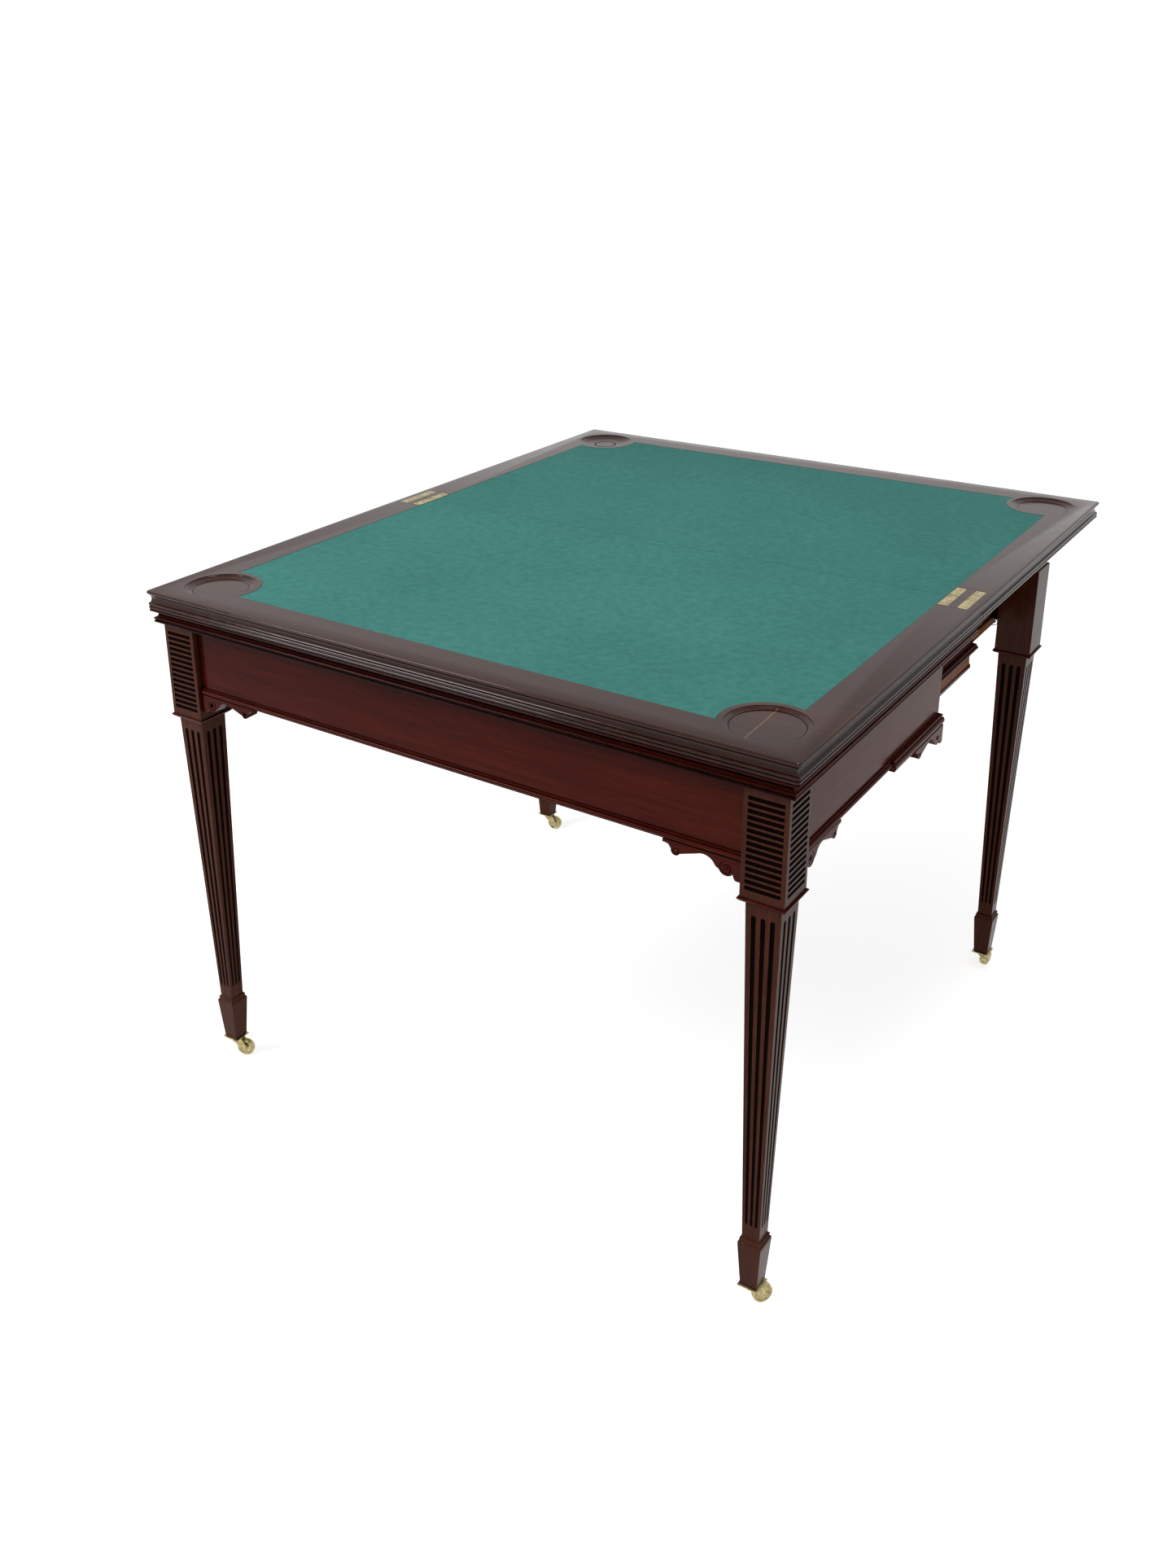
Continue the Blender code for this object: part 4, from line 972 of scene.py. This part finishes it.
def add_gouge(bm, radius, low, high, place):
    """A cutter with round ends, for a stopped groove along z, then placed."""
    profile = [(radius * math.cos(math.radians(a)),
        low + radius + radius * math.sin(math.radians(a))) for a in range(-90, 1, 18)]
    profile += [(radius * math.cos(math.radians(a)),
        high - radius + radius * math.sin(math.radians(a))) for a in range(0, 91, 18)]
    gouge = bmesh.new()
    add_turning(gouge, profile, (0, 0, 0), 14)
    bmesh.ops.transform(gouge, matrix=place, verts=gouge.verts)
    spare = bpy.data.meshes.new("gouge")
    gouge.to_mesh(spare)
    gouge.free()
    bm.from_mesh(spare)
    bpy.data.meshes.remove(spare)


foot = [
    (0.0340, 0.0215), (0.0345, 0.0220), (0.0930, 0.0296), (0.0965, 0.0300), (0.0985, 0.0300),
    (0.1000, 0.0292), (0.1008, 0.0270), (0.1016, 0.0262), (0.1026, 0.0262), (0.1034, 0.0270),
    (0.1044, 0.0272), (0.1054, 0.0262), (0.1062, 0.0238), (0.1070, 0.0225),
]
for corner in ("front_left", "front_right", "rear_left", "rear_right"):
    low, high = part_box(f"leg_{corner}")
    x, y = (low.x + high.x) / 2, (low.y + high.y) / 2
    front = corner.startswith("front")
    shaft = bmesh.new()
    sections = foot + [(head_base - 0.0055, shaft_top - 0.0003),
        (head_base - 0.0050, shaft_top - 0.0003), (head_base, shaft_top), (head_base, head_side), (high.z, head_side)]
    add_stack(shaft, (x, y), sections)
    leg = as_object(f"leg_{corner}_turned", shaft)

    flutes = bmesh.new()
    for quarter_turns in range(4):
        for across in (-0.0116, 0.0, 0.0116):
            place = Matrix.Rotation(quarter_turns * math.pi / 2, 4,
                "Z") @ Matrix.Translation((across, -shaft_top / 2 - 0.0008, 0))
            add_gouge(flutes, 0.0032, 0.126, 0.549, place)
    for v in flutes.verts:
        share = (v.co.z - shoulder) / (head_base - shoulder)
        taper = (shaft_foot + (shaft_top - shaft_foot) * share) / shaft_top
        v.co = (x + v.co.x * taper, y + v.co.y * taper, v.co.z)
    carve(leg, flutes)

    if front:
        reeds = bmesh.new()
        outward = 1 if corner.endswith("right") else -1
        half = head_side / 2
        for index in range(15):
            z = 0.5835 + index * 0.0076
            wedge = [(-half - 0.001, z + 0.0026), (-half - 0.001, z - 0.0030), (-half, z - 0.0022),
                (-half + 0.0030, z + 0.0010), (-half + 0.0030, z + 0.0024), (-half, z + 0.0026)]
            add_prism(reeds, wedge, "x", -half + 0.0055, half - 0.0055)
        for index in range(15):
            z = 0.5835 + index * 0.0076
            wedge = [(outward * (half + 0.001), z + 0.0026), (outward * (half + 0.001), z - 0.0030),
                (outward * half, z - 0.0022), (outward * (half - 0.0030), z + 0.0010), (outward * (half - 0.0030), z + 0.0024), (outward * half, z + 0.0026)]
            add_prism(reeds, wedge, "y", -half + 0.0055, half - 0.0055)
        bmesh.ops.translate(reeds, vec=(x, y, 0), verts=reeds.verts)
        carve(leg, reeds)

    fit(leg, "frame" if front else "rear_frame", [leg_wood, head_wood, end_grain, painted_shade_wood],
        "mahogany", f"leg_{corner}", arris=0.0007)
    for face in leg.data.polygons:
        if face.center.z > high.z - 0.0005 and not front:
            face.material_index = 2
        elif face.center.z > head_base - 0.001:
            face.material_index = 1
        out = max(abs(face.center.x - x), abs(face.center.y - y))
        if face.center.z > head_base + 0.003:
            half_side = head_side / 2
        else:
            half_side = (shaft_foot + (shaft_top - shaft_foot) * (face.center.z - shoulder) / (head_base - shoulder)) / 2
        # Faces sunk in the flutes and reeds take the near-black wood, a painted shade.
        in_flute = 0.124 < face.center.z < 0.551
        in_reed = front and 0.578 < face.center.z < high.z - 0.012
        if (in_flute or in_reed) and out < half_side - 0.0007:
            face.material_index = 3

# --- collars ------------------------------------------------------------------
# A small moulding glued round the top of each shaft, where the head begins: a round
# between two fillets, mitred at the corners.
collar_edge = [(0.5655, 0.0462), (0.5658, 0.0520), (0.5662, 0.0536), (0.5668, 0.0540),
    (0.5676, 0.0562), (0.5684, 0.0574), (0.5693, 0.0580), (0.5700, 0.0576), (0.5705, 0.0566), (0.5707, 0.0550)]
for corner in ("front_left", "front_right", "rear_left", "rear_right"):
    low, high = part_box(f"collar_{corner}")
    ring, shaft = bmesh.new(), bmesh.new()
    x, y = (low.x + high.x) / 2, (low.y + high.y) / 2
    add_stack(ring, (x, y), collar_edge)
    add_block(shaft, (x - 0.0217, y - 0.0217, low.z - 0.01),
        (x + 0.0217, y + 0.0217, high.z + 0.01))
    collar = as_object(f"collar_{corner}_moulding", ring)
    carve(collar, shaft)
    body = "frame" if corner.startswith("front") else "rear_frame"
    fit(collar, body, mahogany_x, "mahogany", f"collar_{corner}", arris=0.0002)

# --- casters ------------------------------------------------------------------
# Brass plate casters: a square plate with a moulded edge screwed under the foot, a
# cranked horn that swivels on its pintle, and a solid disc wheel dished on both faces.
trail_angles = {"front_left": 25.0, "front_right": 55.0, "rear_left": 20.0, "rear_right": 80.0}
trail, wheel_radius, wheel_width = 0.014, 0.013, 0.009
plate_edge = [(0.0, 0.0225), (0.0003, 0.0245), (0.0008, 0.0256), (0.0013, 0.0260), (0.0016, 0.0268),
    (0.0022, 0.0275), (0.0027, 0.0273), (0.0030, 0.0262)]
horn_top = 0.0304
wheel_profile = [
    (0.0, 0.0040), (0.0030, 0.0040), (0.0034, 0.0036), (0.0038, 0.0028), (0.0060, 0.0026),
    (0.0088, 0.0028), (0.0098, 0.0038), (0.0106, 0.0044), (0.0118, 0.0044), (0.0126, 0.0038),
    (0.0130, 0.0026),
]
for corner in trail_angles:
    low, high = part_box(f"caster_plate_{corner}")
    x, y = (low.x + high.x) / 2, (low.y + high.y) / 2
    body = "frame" if corner.startswith("front") else "rear_frame"
    plate = bmesh.new()
    add_stack(plate, (x, y), [(low.z + z, side) for z, side in plate_edge])
    fit(as_object(f"caster_plate_{corner}_moulded", plate), body, brass, "brass",
        f"caster_plate_{corner}", arris=0.0)

    place = Matrix.Translation((x, y, 0)) @ Matrix.Rotation(math.radians(trail_angles[corner]), 4,
        "Z")
    horn = bmesh.new()
    cheek = [(-0.0046, horn_top - 0.0004), (-0.0050, 0.0278), (-0.0030, 0.0245), (0.0040, 0.0170)]
    cheek += arc((trail, wheel_radius), 0.0042, 190, 420, 14)
    cheek += [(0.0138, 0.0225), (0.0104, 0.0268), (0.0084, 0.0286), (0.0080, horn_top - 0.0004)]
    for sign in (-1, 1):
        inner, outer = wheel_width / 2 + slack, wheel_width / 2 + slack + 0.0018
        add_prism(horn, cheek, "y", *sorted((sign * inner, sign * outer)))
    crown = [(0.0, 0.0272), (0.0070, 0.0272), (0.0082, 0.0278), (0.0085, 0.0288), (0.0085, 0.0296),
        (0.0078, 0.0302), (0.0060, horn_top), (0.0, horn_top)]
    add_turning(horn, crown, (0, 0, 0), 28)
    axle = Matrix.Translation((trail, 0, wheel_radius)) @ Matrix.Rotation(math.pi / 2, 4, "X")
    bmesh.ops.create_cone(horn, cap_ends=True, segments=18, radius1=0.0018, radius2=0.0018,
        depth=wheel_width + 0.0044, matrix=axle)
    bmesh.ops.transform(horn, matrix=place, verts=horn.verts)
    fit(as_object(f"caster_horn_{corner}", horn), f"caster_{corner}", brass, "brass",
        f"caster_fork_{corner}", arris=0.0003)

    disc = bmesh.new()
    rim = wheel_profile + [(r, -z) for r, z in reversed(wheel_profile)]
    add_turning(disc, rim, (0, 0, 0), 48)
    bmesh.ops.transform(disc,
        matrix=place @ Matrix.Translation((trail, 0, wheel_radius)) @ Matrix.Rotation(math.pi / 2, 4, "X"), verts=disc.verts)
    fit(as_object(f"caster_disc_{corner}", disc), f"wheel_{corner}", brass, "brass",
        f"caster_wheel_{corner}", arris=0.0)

# --- slides -------------------------------------------------------------------
# Two pairs of draw slides. The first pair is polished outside, with a bead and an oiled
# strip below it; the second is oiled and grooved, and is fixed to the rear apron. The
# guides, the tie and the inner rail are plain oiled stock.
SLIDE_WOOD = ((0.090, 0.024, 0.0050), (0.170, 0.050, 0.0110), (0.270, 0.090, 0.0220))
oiled_y = polished_wood("oiled_grain_y", *SLIDE_WOOD, grain="y", gloss=0.34, wear=0.3, pores=0.12)
oiled_x = polished_wood("oiled_grain_x", *SLIDE_WOOD, grain="x", gloss=0.40, wear=0.2, pores=0.12)
slide_top, slide_face, slide_inner = 0.700, 0.409, 0.398
first_section = [(slide_face - 0.0012, 0.580), (slide_face, 0.5812), (slide_face, 0.5858),
    (slide_face - 0.0015, 0.5866), (slide_face - 0.0022, 0.5900)]
first_section += [(slide_face - 0.0024, 0.5990), (slide_face - 0.0012, 0.6065),
    (slide_face + 0.0022, 0.6108), (slide_face + 0.0060, 0.6121)]
first_section += [(slide_face + x, z) for x, z in arc((0.0066, 0.6144), 0.0024, -78, 78, 6)]
first_section += [(slide_face + 0.0060, 0.6169), (slide_face + 0.0064, 0.6172)]
first_section += [(slide_face + x, z) for x, z in arc((0.0052, 0.6184), 0.0013, -60, 90, 5)]
first_section += [(slide_face + 0.0012, 0.6199), (slide_face, 0.6204)]
first_section += [(slide_face, 0.684), (0.4025, 0.684), (0.4025, 0.692), (slide_face, 0.692),
    (slide_face, slide_top)]
first_section += [(slide_inner, slide_top), (slide_inner, 0.6247), (0.3918, 0.6247),
    (0.3918, 0.6173), (slide_inner, 0.6173), (slide_inner, 0.580)]
for side, sign in {"left": -1, "right": 1}.items():
    low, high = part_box(f"mid_slide_{side}")
    bar = bmesh.new()
    add_prism(bar, [(sign * a, z) for a, z in first_section], "y", low.y, high.y)
    slide = as_object(f"first_slide_{side}", bar)
    fit(slide, "mid_slides", [mahogany_y, oiled_y], "slide_wood", f"mid_slide_{side}", arris=0.0003)
    for face in slide.data.polygons:
        outside = face.center.x * sign > slide_face - 0.004 and abs(face.normal.y) < 0.5
        strip = 0.5862 < face.center.z < 0.6112
        face.material_index = 1 if strip or not outside else 0

    low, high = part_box(f"rear_slide_{side}")
    outer, inner = 0.3977, 0.3757
    second = [(outer - 0.0010, 0.604), (outer, 0.605), (outer, 0.617), (0.3915, 0.617),
        (0.3915, 0.625), (outer, 0.625), (outer, 0.6450)]
    second += [(outer - 0.0008, 0.6458), (outer - 0.0008, 0.6468), (outer, 0.6476), (outer, 0.699),
        (outer - 0.001, slide_top), (inner, slide_top), (inner, 0.604)]
    bar = bmesh.new()
    add_prism(bar, [(sign * a, z) for a, z in second], "y", low.y, high.y)
    fit(as_object(f"second_slide_{side}", bar), "rear_frame", oiled_y, "slide_wood",
        f"rear_slide_{side}", arris=0.0005)

for node, wood in {"cross_rail": oiled_x, "mid_slide_tie": oiled_x, "slide_guide_left": oiled_y,
    "slide_guide_right": oiled_y}.items():
    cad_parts[node].data.materials.clear()
    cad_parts[node].data.materials.append(wood)
